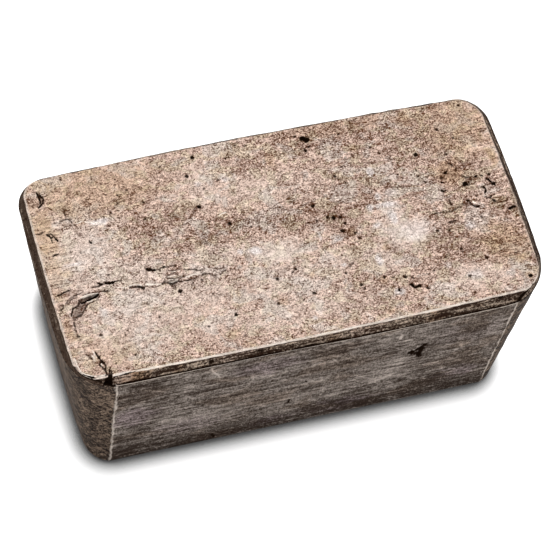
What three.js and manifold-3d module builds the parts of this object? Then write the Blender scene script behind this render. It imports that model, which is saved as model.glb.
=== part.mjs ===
// A poured silver bar of about 100 troy ounces, as it comes out of an open mould.
//
// The mould gives the tapered walls, the round corners and the round bottom edges.
// The metal's skin at the mould's mouth gives the lip: a narrow bevel round the top,
// between the shoulder, where the bar is widest, and the rim of the top face.
// The near wall has been dressed flat. That cuts its two round corners off at an
// arris each, and leaves the lip above it standing back behind a thin ledge.
// The metal chilled before it filled the mould's near left corner. That left a gap in
// the lip there, with a crack running in from it, and a cold shut farther along.
//
// Units are millimetres. X runs along the bar, Y across it from the dressed wall to
// the far wall, Z up. The origin is the middle of the bar's box, on the surface that
// the bar rests on.

import * as THREE from 'three';
import { mergeVertices } from 'three/addons/utils/BufferGeometryUtils.js';
import Module from 'manifold-3d';

// Driving dimensions
const LENGTH = 120;
const WIDTH = 59.6;
const HEIGHT = 47;
const LIP_HEIGHT = 2.8;

// How far each wall leans in from the shoulder down to the bottom face
const END_TAPER = 7;
const SIDE_TAPER = 2;

// Round corners, seen from above: near left, near right, far right and far left
const SHOULDER_RADII = [12.6, 12.6, 8, 8];
const BOTTOM_RADII = [7.2, 7.2, 10, 10];
const RIM_RADII = [5.5, 7.2, 6.2, 4.5];

// Round edge between the walls and the bottom face
const BOTTOM_EDGE_RADIUS = 2.2;

// How much metal the dressing took off the near wall
const DRESSING_DEPTH = 0.4;

// How far the rim stands in from the shoulder on each side
const RIM_INSET_LEFT = 1.6;
const RIM_INSET_RIGHT = 2.3;
const RIM_INSET_NEAR = 1.5;
const RIM_INSET_FAR = 2;

// How far each side swells outwards at its middle
const SWELL_END = 0.35;
const SWELL_FAR = 0.8;
const SWELL_NEAR_RIM = 0.8;

// The ledge along the dressed wall, the hollow of the lip and the rim's worn edge
const LEDGE_DEPTH = 0.4;
const LEDGE_DROP = 0.1;
const LIP_HOLLOW = 0.2;
const RIM_EDGE = 0.25;

// Casting flaws that open at the top face. An outline runs round the mouth of the
// flaw, depth is measured down from the top face, and floor is how large the flaw's
// floor is beside its mouth.
const TOP_FLAWS = [
  // Gap in the lip at the near left corner, where the mould didn't fill
  {
    outline: [[-52.3, -32], [-49.6, -32], [-49.7, -28.3], [-50.5, -27.8], [-51.7, -28], [-52.3, -28.7]],
    depth: LIP_HEIGHT,
    floor: 0.9,
  },
  // Crack that runs in from the gap
  {
    outline: [[-52.9, -21.3], [-52.2, -24.3], [-51.8, -26.5], [-51.4, -28.4], [-50.8, -28.3],
      [-51.1, -26.5], [-51.3, -24.4], [-52.2, -22.6]],
    depth: 0.8,
    floor: 0.3,
  },
  // Cold shut: the shallow step where one tongue of metal ran over another
  {
    outline: [[-55.3, -10.7], [-54.9, -12], [-52.5, -10.9], [-51.6, -9.7], [-48.8, -7.9],
      [-47.4, -6.5], [-52.1, -6.9], [-54.1, -8.6]],
    depth: 0.5,
    floor: 0.8,
  },
  // The open slot along the back of that step
  {
    outline: [[-52.2, -7.1], [-51.9, -8.3], [-48.8, -7.5], [-47.5, -6.6]],
    depth: 1.5,
    floor: 0.6,
  },
  // Crescent nick near the far left corner
  {
    outline: [[-55, 24], [-54.3, 22.7], [-54.2, 21.7], [-54.6, 20.7], [-55.3, 19.6],
      [-53.9, 20.4], [-53.4, 21.4], [-53.8, 22.9]],
    depth: 0.5,
    floor: 0.5,
  },
];

// Gas pits near the right end: middle of the mouth, its radius, and the depth
const GAS_PITS = [
  { x: 47.3, y: 3.2, radius: 0.55, depth: 0.7 },
  { x: 51.7, y: 4.7, radius: 0.45, depth: 0.5 },
  { x: 53.9, y: 2.9, radius: 0.55, depth: 0.6 },
  { x: 41.1, y: 2.6, radius: 0.45, depth: 0.5 },
  { x: 47.9, y: -3.3, radius: 0.6, depth: 0.4 },
];

// Three-cornered nick in the dressed wall. X runs along the bar, Y up the wall from
// the surface that the bar rests on, and depth into the wall.
const WALL_NICK = {
  outline: [[25.4, 27.6], [27.5, 26.6], [28.4, 24.5], [29.3, 24.4], [29, 28.4], [29.4, 32.1], [27.5, 30.4]],
  depth: 0.9,
  floor: 0.5,
};

// How far the cutters of the flaws stand out over the surface
const CLEARANCE = 2;
const PIT_SIDES = 8;
const PIT_FLOOR = 0.5;

// Steps along the curves
const CORNER_STEPS = 10;
const SIDE_STEPS = 10;
const BOTTOM_EDGE_STEPS = 5;
const WALL_STEPS = 4;

const SHOULDER_HEIGHT = HEIGHT - LIP_HEIGHT;
const LEFT = -LENGTH / 2 + SWELL_END;
const RIGHT = LENGTH / 2 - SWELL_END;
const NEAR = -WIDTH / 2;
const FAR = WIDTH / 2 - SWELL_FAR;

const lerp = THREE.MathUtils.lerp;

// Radii part of the way from one set of corner radii to another
function radiiBetween(from, to, share) {
  return from.map((radius, index) => lerp(radius, to[index], share));
}

// A side of an outline from one point to another, swelling outwards at its middle
// by the given amount. Outlines run anticlockwise, so outwards is to the right.
function swollenSide(from, to, swell) {
  const along = to.clone().sub(from).normalize();
  const outwards = new THREE.Vector2(along.y, -along.x);
  const control = from.clone().add(to).multiplyScalar(0.5).addScaledVector(outwards, 2 * swell);
  return new THREE.QuadraticBezierCurve(from, control, to).getPoints(SIDE_STEPS);
}

// A round corner, as the points of its arc
function roundCorner(centre, radius, startAngle, endAngle) {
  const arc = new THREE.ArcCurve(centre.x, centre.y, radius, startAngle, endAngle, false);
  return arc.getPoints(CORNER_STEPS);
}

// One horizontal section of the bar, anticlockwise from the left side's near end.
// The near corners are arcs of the wall as it was cast, and stop at the dressed face.
function outline(level) {
  const { left, right, near, far, radii, dressing, swell } = level;
  const centres = [
    new THREE.Vector2(left + radii[0], near - dressing + radii[0]),
    new THREE.Vector2(right - radii[1], near - dressing + radii[1]),
    new THREE.Vector2(right - radii[2], far - radii[2]),
    new THREE.Vector2(left + radii[3], far - radii[3]),
  ];
  const cutAngle = (radius) => Math.acos((radius - dressing) / radius);
  const angles = [
    [Math.PI, 1.5 * Math.PI - cutAngle(radii[0])],
    [1.5 * Math.PI + cutAngle(radii[1]), 2 * Math.PI],
    [0, 0.5 * Math.PI],
    [0.5 * Math.PI, Math.PI],
  ];
  const corners = centres.map((centre, index) => roundCorner(centre, radii[index], ...angles[index]));
  const swells = [swell.near, SWELL_END, swell.far, SWELL_END];
  const points = [];
  corners.forEach((corner, index) => {
    const next = corners[(index + 1) % corners.length];
    const side = swollenSide(corner.at(-1), next[0], swells[index]);
    points.push(...corner.slice(0, -1), ...side.slice(0, -1));
  });
  return points.map((point) => new THREE.Vector3(point.x, point.y, level.z));
}

// A section of the cast walls. down is 0 at the shoulder and 1 at the bottom face,
// and inset is what the round bottom edge takes off all round.
function wallLevel(z, inset) {
  const down = 1 - z / SHOULDER_HEIGHT;
  return {
    z,
    left: LEFT + END_TAPER * down + inset,
    right: RIGHT - END_TAPER * down - inset,
    near: NEAR + SIDE_TAPER * down + inset,
    far: FAR - SIDE_TAPER * down - inset,
    radii: radiiBetween(SHOULDER_RADII, BOTTOM_RADII, down).map((radius) => radius - inset),
    dressing: DRESSING_DEPTH,
    swell: { near: 0, far: SWELL_FAR },
  };
}

// A section of the lip. up is 0 at the shoulder and 1 at the rim, setBack is how far
// the near side stands behind the straight bevel, and hollow how far all sides do.
function lipLevel(z, setBack, hollow) {
  const up = (z - SHOULDER_HEIGHT) / LIP_HEIGHT;
  return {
    z,
    left: LEFT + RIM_INSET_LEFT * up + hollow,
    right: RIGHT - RIM_INSET_RIGHT * up - hollow,
    near: NEAR + RIM_INSET_NEAR * up + setBack + hollow,
    far: FAR - RIM_INSET_FAR * up - hollow,
    radii: radiiBetween(SHOULDER_RADII, RIM_RADII, up),
    dressing: DRESSING_DEPTH + setBack,
    swell: { near: SWELL_NEAR_RIM * up, far: SWELL_FAR },
  };
}

// Every section of the bar, from the bottom face to the top face
function barSections() {
  const levels = [];
  for (let step = 0; step < BOTTOM_EDGE_STEPS; step += 1) {
    const angle = (step / BOTTOM_EDGE_STEPS) * 0.5 * Math.PI;
    const inset = BOTTOM_EDGE_RADIUS * (1 - Math.sin(angle));
    levels.push(wallLevel(BOTTOM_EDGE_RADIUS * (1 - Math.cos(angle)), inset));
  }
  for (let step = 0; step <= WALL_STEPS; step += 1) {
    levels.push(wallLevel(lerp(BOTTOM_EDGE_RADIUS, SHOULDER_HEIGHT, step / WALL_STEPS), 0));
  }
  levels.push(lipLevel(SHOULDER_HEIGHT + LEDGE_DROP, LEDGE_DEPTH, 0));
  levels.push(lipLevel(SHOULDER_HEIGHT + LIP_HEIGHT / 2, LEDGE_DEPTH / 2, LIP_HOLLOW));
  levels.push(lipLevel(HEIGHT - RIM_EDGE, 0, 0));
  levels.push(lipLevel(HEIGHT, 0, RIM_EDGE / 2));
  return levels.map(outline);
}

// A closed solid through sections that have the same number of points
function loft(sections) {
  const count = sections[0].length;
  const positions = sections.flat().flatMap((point) => [point.x, point.y, point.z]);
  const indices = [];
  for (let ring = 0; ring + 1 < sections.length; ring += 1) {
    for (let index = 0; index < count; index += 1) {
      const next = (index + 1) % count;
      const low = ring * count;
      const high = low + count;
      indices.push(low + index, low + next, high + next);
      indices.push(low + index, high + next, high + index);
    }
  }
  const flat = (section) => section.map((point) => new THREE.Vector2(point.x, point.y));
  const lastRing = (sections.length - 1) * count;
  for (const [a, b, c] of THREE.ShapeUtils.triangulateShape(flat(sections[0]), [])) {
    indices.push(c, b, a);
  }
  for (const [a, b, c] of THREE.ShapeUtils.triangulateShape(flat(sections.at(-1)), [])) {
    indices.push(lastRing + a, lastRing + b, lastRing + c);
  }
  const geometry = new THREE.BufferGeometry();
  geometry.setAttribute('position', new THREE.Float32BufferAttribute(positions, 3));
  geometry.setIndex(indices);
  geometry.computeVertexNormals();
  return geometry;
}

// The cutter of a flaw, in a frame whose Z points out of the surface, with the surface
// at the given height
function flawCutter(flaw, surface) {
  const mouth = flaw.outline.map(([x, y]) => new THREE.Vector2(x, y));
  if (THREE.ShapeUtils.isClockWise(mouth)) mouth.reverse();
  const middle = mouth.reduce((sum, point) => sum.add(point), new THREE.Vector2());
  middle.divideScalar(mouth.length);
  const floor = mouth.map((point) => middle.clone().lerp(point, flaw.floor));
  const at = (points, z) => points.map((point) => new THREE.Vector3(point.x, point.y, z));
  return loft([at(floor, surface - flaw.depth), at(mouth, surface), at(mouth, surface + CLEARANCE)]);
}

// The mouth of a gas pit, as the outline of a flaw
function gasPit({ x, y, radius, depth }) {
  const mouth = new THREE.ArcCurve(x, y, radius, 0, 2 * Math.PI, false).getPoints(PIT_SIDES);
  const outline = mouth.slice(0, -1).map((point) => [point.x, point.y]);
  return { outline, depth, floor: PIT_FLOOR };
}

// The cutters of all flaws, each in the bar's own frame
function flawCutters() {
  const cutters = [...TOP_FLAWS, ...GAS_PITS.map(gasPit)].map((flaw) => flawCutter(flaw, HEIGHT));
  const nick = flawCutter(WALL_NICK, 0);
  const lean = Math.atan(SIDE_TAPER / SHOULDER_HEIGHT);
  nick.rotateX(Math.PI / 2 + lean);
  nick.translate(0, NEAR + SIDE_TAPER, 0);
  return [...cutters, nick];
}

const wasm = await Module();
wasm.setup();

// A closed geometry as a solid that can be cut
function toSolid(geometry) {
  const bare = geometry.clone();
  bare.deleteAttribute('normal');
  const merged = mergeVertices(bare, 1e-5);
  return new wasm.Manifold(new wasm.Mesh({
    numProp: 3,
    vertProperties: new Float32Array(merged.attributes.position.array),
    triVerts: new Uint32Array(merged.index.array),
  }));
}

// A solid as a geometry again
function toGeometry(solid) {
  const mesh = solid.getMesh();
  const geometry = new THREE.BufferGeometry();
  geometry.setAttribute('position', new THREE.Float32BufferAttribute(mesh.vertProperties, 3));
  geometry.setIndex([...mesh.triVerts]);
  geometry.computeVertexNormals();
  return geometry;
}

// The bar as it was cast and dressed, with its flaws cut into it
function flawedBar() {
  const sound = toSolid(loft(barSections()));
  const flawed = flawCutters().reduce((solid, cutter) => solid.subtract(toSolid(cutter)), sound);
  return toGeometry(flawed);
}

// Cast silver with a brown tarnish: a bare metal, but rough and dulled
const castSilver = new THREE.MeshStandardMaterial({
  color: 0xb7a292,
  roughness: 0.6,
  metalness: 0.85,
});

const bar = new THREE.Mesh(flawedBar(), castSilver);
bar.name = 'silver_bar';

const ingot = new THREE.Group();
ingot.name = 'ingot';
ingot.add(bar);

export default ingot;
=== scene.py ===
import itertools
import math

import bmesh
import bpy
import numpy as np
from bpy.props import FloatProperty, FloatVectorProperty, PointerProperty
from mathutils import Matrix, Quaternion, Vector


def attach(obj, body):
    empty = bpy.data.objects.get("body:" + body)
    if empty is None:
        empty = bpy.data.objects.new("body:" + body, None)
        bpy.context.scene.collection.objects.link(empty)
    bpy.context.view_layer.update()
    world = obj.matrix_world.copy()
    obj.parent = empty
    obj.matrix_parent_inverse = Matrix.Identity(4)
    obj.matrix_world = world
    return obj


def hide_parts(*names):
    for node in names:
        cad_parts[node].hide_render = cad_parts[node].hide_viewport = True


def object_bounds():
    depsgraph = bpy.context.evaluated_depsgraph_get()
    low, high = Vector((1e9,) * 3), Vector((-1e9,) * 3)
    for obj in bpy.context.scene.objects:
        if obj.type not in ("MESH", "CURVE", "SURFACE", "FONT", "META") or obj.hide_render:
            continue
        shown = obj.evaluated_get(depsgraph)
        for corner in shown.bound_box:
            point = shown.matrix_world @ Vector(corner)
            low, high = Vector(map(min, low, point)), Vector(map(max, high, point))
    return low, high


bl_info = {
    "name": "Poured silver bar",
    "version": (1, 0, 0),
    "blender": (4, 5, 0),
    "location": "View3D > Sidebar > Silver bar",
    "description": "Dresses the solid of a poured silver bar with its skin, flaws and tarnish",
    "category": "Object",
}

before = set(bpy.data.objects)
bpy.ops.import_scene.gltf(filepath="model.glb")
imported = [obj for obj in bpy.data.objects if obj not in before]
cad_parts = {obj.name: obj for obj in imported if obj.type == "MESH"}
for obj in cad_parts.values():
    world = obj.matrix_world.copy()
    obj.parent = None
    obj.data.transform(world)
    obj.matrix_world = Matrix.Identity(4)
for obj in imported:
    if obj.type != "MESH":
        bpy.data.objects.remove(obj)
SOLID_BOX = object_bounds()

# The bar is worked out in millimetres and turned to metres at the end
MM = 0.001

# The solid's own sizes, which the bar's are taken from
SOLID_LENGTH = (SOLID_BOX[1].x - SOLID_BOX[0].x) / MM
SOLID_WIDTH = (SOLID_BOX[1].y - SOLID_BOX[0].y) / MM
SOLID_HEIGHT = SOLID_BOX[1].z / MM

# Steps along the sections: in a corner, along the bar, across it, and all round. The walls
# have half as many columns as the top and the lip, and the bottom a quarter.
CORNER_STEPS = 24
LONG_STEPS = 240
SHORT_STEPS = 112
RING_STEPS = 4 * CORNER_STEPS + 2 * (LONG_STEPS + SHORT_STEPS)
# Steps from section to section: in the worn rim, the lip, the walls and the bottom edge
RIM_STEPS = 3
LIP_STEPS = 7
WALL_STEPS = 54
BOTTOM_EDGE_STEPS = 5
# Width of the band of triangles round the bottom, where the steps halve
BOTTOM_BAND = 1.2

# The finishes, in the order of the bar's material slots
SKIN, LIP, DRESSED, CAST = range(4)

# Half the length that the dressed wall's marks and tints can reach, and how far in from the
# near side a point still belongs to it. Points elsewhere count as this far from an arris.
DRESSED_HALF = 51
NEAR_REACH = 6
FAR_FROM_ARRIS = 9.0

# The lip's points lie more than this over the shoulder, and more than this under the rim
SHOULDER_MARGIN = 0.05
RIM_MARGIN = 0.1

# How far in from an end or side of the bar a band starts, how far in it is full, and its
# strength: where the lip's tarnish is dull, and where the rim is rubbed and has a painted
# highlight, strongest on the near side
DULL_LEFT = (9, 5, 1)
DULL_RIGHT = (7, 3.5, 0.3)
RUBBED_HIGHLIGHT_NEAR = (7, 3, 1)
RUBBED_HIGHLIGHT_LEFT = (7, 3, 0.5)
RUBBED_HIGHLIGHT_RIGHT = (7, 4, 0.25)
# Where along the bar the right cast wall starts to get painted shade, and has it fully
SHADED_RIGHT_WALL = (44, 50)

# Seeded unevenness, in layers. Each is how much it gives, the size of its lumps in mm, which
# is one number or three along X, Y and Z, and its seed.
SWELLS = ((0.05, 15, 1), (0.04, 8, 2))
CRINKLES = ((0.05, 4.2, 3), (0.045, 1.9, 4), (0.04, 0.95, 5))
LIP_SHEETS = ((1, (6, 6, 0.5), 11), (0.6, (2.5, 2.5, 0.35), 12))
LIP_LUMPS = ((0.08, 1.5, 13),)
LIP_SEAM = ((0.25, 5, 14), (0.15, 1.6, 15))
MOULD_FACE = ((0.07, 6, 21), (0.05, 2.2, 22))
STROKES = ((0.02, (14, 14, 1.5), 23), (0.02, 9, 24))
RUBBED_HIGHLIGHT_PATCHES = ((0.3, 5, 31), (0.25, 1.5, 32))
GAP_EDGE = ((0.16, 0.8, 33), (0.1, 0.35, 34))
GAP_WALL = ((0.15, 0.7, 35),)
# The seeds of these are counted from the seed of the marks or the patch
MARK_EDGE = ((0.12, 0.4, 0), (0.09, 0.9, 1), (0.06, 0.22, 2))
MARK_DIRT = ((0.1, 0.7, 3),)
TINT_EDGE = ((0.35, 1.6, 0), (0.25, 0.7, 1))

# Depth of the top's open relief under the rim, so that ridges can stand up in it
SKIN_DEPTH = 0.22
# How far round a mark the mesh is made finer, and how many cuts an edge there gets
FINE_MARGIN = 0.24
FINE_CUTS = 2
# Faces that meet at more than this, in degrees, have a sharp edge
SHARP_ANGLE = 38
# How many points are set against the rim at once, which keeps the memory low
RIM_BATCH = 2000

# Marks on the top. Each is its depth, its dirt, and then the points of its line, with the
# width at each. A negative depth is a ridge, which has its shine in the place of its dirt: rubbed
# metal with a painted highlight.
FOLDS = (
    # The cold shut: its open slot, brown with a black floor, and the bright edge over it, rubbed metal with
    # a painted highlight
    (0.6, 0.9, (-52.1, -7.4, 0.8), (-50.9, -7.35, 1), (-49.3, -7.05, 0.8), (-48.2, -6.85, 0.6),
     (-47.3, -6.45, 0.17)),
    (1.3, 1.25, (-51.8, -7.7, 0.35), (-51.1, -7.75, 0.44), (-50.2, -7.5, 0.31), (-49.2, -7.2, 0.35),
     (-48.3, -7, 0.35), (-47.6, -6.6, 0.18)),
    (-0.2, 1.5, (-51.8, -6.6, 0.35), (-50.7, -6.4, 0.5), (-49.7, -6.25, 0.5), (-48.7, -6.2, 0.4),
     (-47.6, -6.25, 0.2)),
    (-0.12, 1.1, (-50.6, -8, 0.25), (-49.4, -7.8, 0.3)),
    (0.25, 0.85, (-50.9, -8.8, 0.19), (-50.1, -8.45, 0.23), (-49, -8.1, 0.19), (-48.1, -7.9, 0.19),
     (-47.7, -7.1, 0.23)),
    (0.3, 0.8, (-51.2, -6.05, 0.14), (-49.7, -5.8, 0.23), (-47.7, -5.95, 0.23), (-46.3, -6, 0.28)),
    (0.3, 0.99, (-46.4, -6, 0.26), (-45.7, -6.1, 0.3), (-44.8, -6.2, 0.13)),
    # The shallow terrace that runs on from it, brown inside a dark edge
    (0.35, 0.8, (-51.7, -8.2, 1.3), (-52.4, -9.4, 1.9), (-53.3, -10.4, 1.9), (-54.5, -11.3, 0.9),
     (-54.9, -12.3, 0.3)),
    (0.4, 1.02, (-52.2, -7.3, 0.35), (-52.7, -8.1, 0.35), (-53.3, -8.6, 0.3), (-54.3, -8.95, 0.26),
     (-54.65, -9.8, 0.22), (-55.2, -10.9, 0.26)),
    (0.4, 0.95, (-50.7, -8.6, 0.28), (-51.7, -9.7, 0.37), (-52.5, -10.6, 0.37), (-53.7, -11.2, 0.33),
     (-54.7, -11.9, 0.23)),
    (0.3, 0.9, (-54.8, -12, 0.19), (-55.1, -13.3, 0.33), (-55, -14, 0.19)),
    (0.3, 0.9, (-55.2, -14.6, 0.28), (-55.1, -15, 0.28)),
    # The lines that lead into it
    (0.25, 0.85, (-55.5, -7.3, 0.23), (-55.1, -6.8, 0.23), (-54.6, -6.3, 0.28), (-53.9, -5.95, 0.28),
     (-52.7, -5.6, 0.23), (-51.7, -5.4, 0.28), (-50.9, -5.1, 0.19)),
    (0.25, 0.85, (-55.2, -7.6, 0.19), (-54.7, -7, 0.28), (-54.2, -6.5, 0.23), (-52.7, -6.1, 0.19)),
    (0.3, 0.85, (-57.1, -8.7, 0.33), (-56.7, -8.5, 0.37), (-56.3, -8, 0.28), (-56.5, -7.4, 0.23)),
    (0.3, 1.06, (-56.9, -4.75, 0.13), (-55.9, -4.5, 0.22), (-55.1, -4.2, 0.26), (-54.3, -4, 0.22),
     (-53.7, -3.95, 0.13)),
    (0.1, 0.5, (-57.7, -9.9, 0.2), (-56.6, -11.7, 0.2)),
    # The seam that runs on along the bar, dark under a bright edge that has a painted highlight
    (-0.14, 0.9, (-43.1, -5.8, 0.25), (-42, -6.1, 0.35), (-40.7, -6.35, 0.3), (-39.7, -6.05, 0.25),
     (-38.2, -6.1, 0.3), (-37, -6.5, 0.25)),
    (-0.14, 1, (-36, -6.5, 0.4), (-34.9, -6.8, 0.7), (-33.7, -7.1, 0.45), (-32.6, -7.2, 0.2)),
    (0.15, 0.75, (-41.7, -6.8, 0.2), (-40.7, -6.85, 0.25)),
    (0.3, 1.02, (-39.8, -6.4, 0.22), (-38.9, -6.5, 0.26), (-38.1, -6.5, 0.26), (-37.3, -6.95, 0.39),
     (-36.6, -7.3, 0.52)),
    (0.25, 0.6, (-37.7, -7.3, 0.6), (-36.9, -7.9, 1), (-36.2, -8.3, 0.4), (-34.9, -8.7, 0.2)),
    (0.2, 0.8, (-36.1, -6.95, 0.19), (-35.3, -7.3, 0.23), (-34.3, -7.6, 0.19), (-33.1, -7.6, 0.19)),
    (0.3, 0.95, (-32.1, -7.2, 0.23), (-31.4, -6.9, 0.37), (-30.8, -7.1, 0.28), (-30.3, -7.5, 0.33),
     (-29.7, -7.7, 0.47), (-29, -7.6, 0.33), (-28.4, -7.3, 0.23), (-27.7, -7.5, 0.19),
     (-25.9, -7.6, 0.23), (-25.2, -7.5, 0.19)),
    (0.3, 0.75, (-29.7, -7.8, 1.3), (-29.6, -8.4, 0.8), (-29.5, -9.2, 0.3)),
    (0.2, 0.8, (-30.8, -5.7, 0.19), (-30.2, -5.15, 0.19), (-28.7, -5, 0.19), (-27.8, -5.5, 0.19)),
    (0.25, 0.85, (-30.6, -6, 0.23), (-29.6, -6.25, 0.33), (-28.7, -6.35, 0.37), (-27.9, -6.45, 0.33),
     (-26.2, -6.3, 0.19)),
    (0.2, 0.8, (-31.3, -6.2, 0.28), (-30.8, -6.65, 0.23), (-29.9, -6.9, 0.19), (-28.5, -6.9, 0.19)),
    (-0.1, 0.8, (-30.3, -5.75, 0.25), (-28.3, -5.8, 0.25)),
    (-0.1, 0.9, (-30.5, -6.6, 0.2), (-28.3, -6.7, 0.2)),
    (-0.12, 1, (-30.4, -7.25, 0.25), (-28.5, -7.15, 0.2)),
    (0.2, 0.8, (-29.9, -3.9, 0.19), (-29, -4.15, 0.23), (-28.1, -4.3, 0.28), (-27, -4.2, 0.23),
     (-26.7, -3.8, 0.19)),
    (-0.1, 0.7, (-29.5, -4.6, 0.2), (-27.1, -4.75, 0.25)),
    (0.25, 0.9, (-26, -4.45, 0.23), (-25.3, -4.75, 0.28), (-24.4, -4.85, 0.28), (-23.6, -4.95, 0.33),
     (-23.1, -5.4, 0.28), (-22.4, -5.6, 0.23), (-21.3, -5.4, 0.19)),
    (-0.1, 0.7, (-26.2, -6.7, 0.3), (-24.2, -6.5, 0.5), (-22.7, -6.4, 0.3)),
    (0.2, 0.8, (-24.7, -7.55, 0.28), (-23.9, -7.4, 0.28), (-23.1, -7.05, 0.23)),
    (0.2, 0.75, (-24.7, -7.6, 0.35), (-24.9, -8.3, 0.35), (-25.1, -9.1, 0.3)),
    (0.25, 0.85, (-22.4, -7, 0.19), (-21.7, -6.75, 0.28), (-20.9, -6.85, 0.28), (-20.4, -7.1, 0.33),
     (-20.1, -7.6, 0.23), (-19.1, -7.8, 0.19)),
    (-0.1, 0.6, (-21.9, -6.3, 0.2), (-20.6, -6.35, 0.2)),
    (0.2, 0.8, (-18.1, -7.9, 0.23), (-17.5, -7.4, 0.33), (-17.2, -7, 0.28), (-16.4, -6.95, 0.19)),
    (0.2, 0.75, (-18.7, -5.8, 0.25), (-18.2, -6.3, 0.25), (-16.7, -6.2, 0.3)),
    (0.2, 0.75, (-15.3, -7.1, 0.25), (-14.7, -7, 0.3), (-14, -7.1, 0.2)),
    (0.2, 0.85, (-22.7, -8, 0.33), (-22.6, -8.4, 0.33)),
    (0.2, 0.75, (-17.9, -0.6, 0.3), (-17.8, -1.2, 0.35), (-18.1, -1.9, 0.25)),
    # The broken line of dashes over the seam
    (0.3, 0.99, (-48.7, -4.55, 0.13), (-47.7, -4.45, 0.26), (-46.7, -4.35, 0.26), (-45.9, -4.2, 0.26)),
    (0.35, 1.14, (-46.8, -3.65, 0.3), (-46.2, -3.9, 0.3), (-45.7, -4.15, 0.26)),
    (0.5, 1.3, (-45.1, -4, 0.31), (-44.3, -4.3, 0.53), (-43.4, -4.25, 0.48), (-43, -4.1, 0.18)),
    (0.25, 0.9, (-42.8, -4.1, 0.19), (-41.2, -4.1, 0.28)),
    (0.4, 1.25, (-34.6, -2.3, 0.31), (-34.4, -2.8, 0.35), (-33.8, -2.75, 0.48), (-33.2, -3.05, 0.4),
     (-32.7, -3.1, 0.26)),
    (0.25, 0.9, (-32.7, -3.1, 0.23), (-31.7, -3, 0.23), (-31.1, -2.9, 0.19)),
    (0.25, 0.9, (-31.8, -3.1, 0.23), (-31.6, -3.7, 0.23)),
    (0.3, 1.06, (-30.6, -2.85, 0.26), (-29.5, -2.95, 0.3)),
    (0.25, 0.9, (-29.1, -3, 0.19), (-27.8, -3, 0.28)),
)
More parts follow.
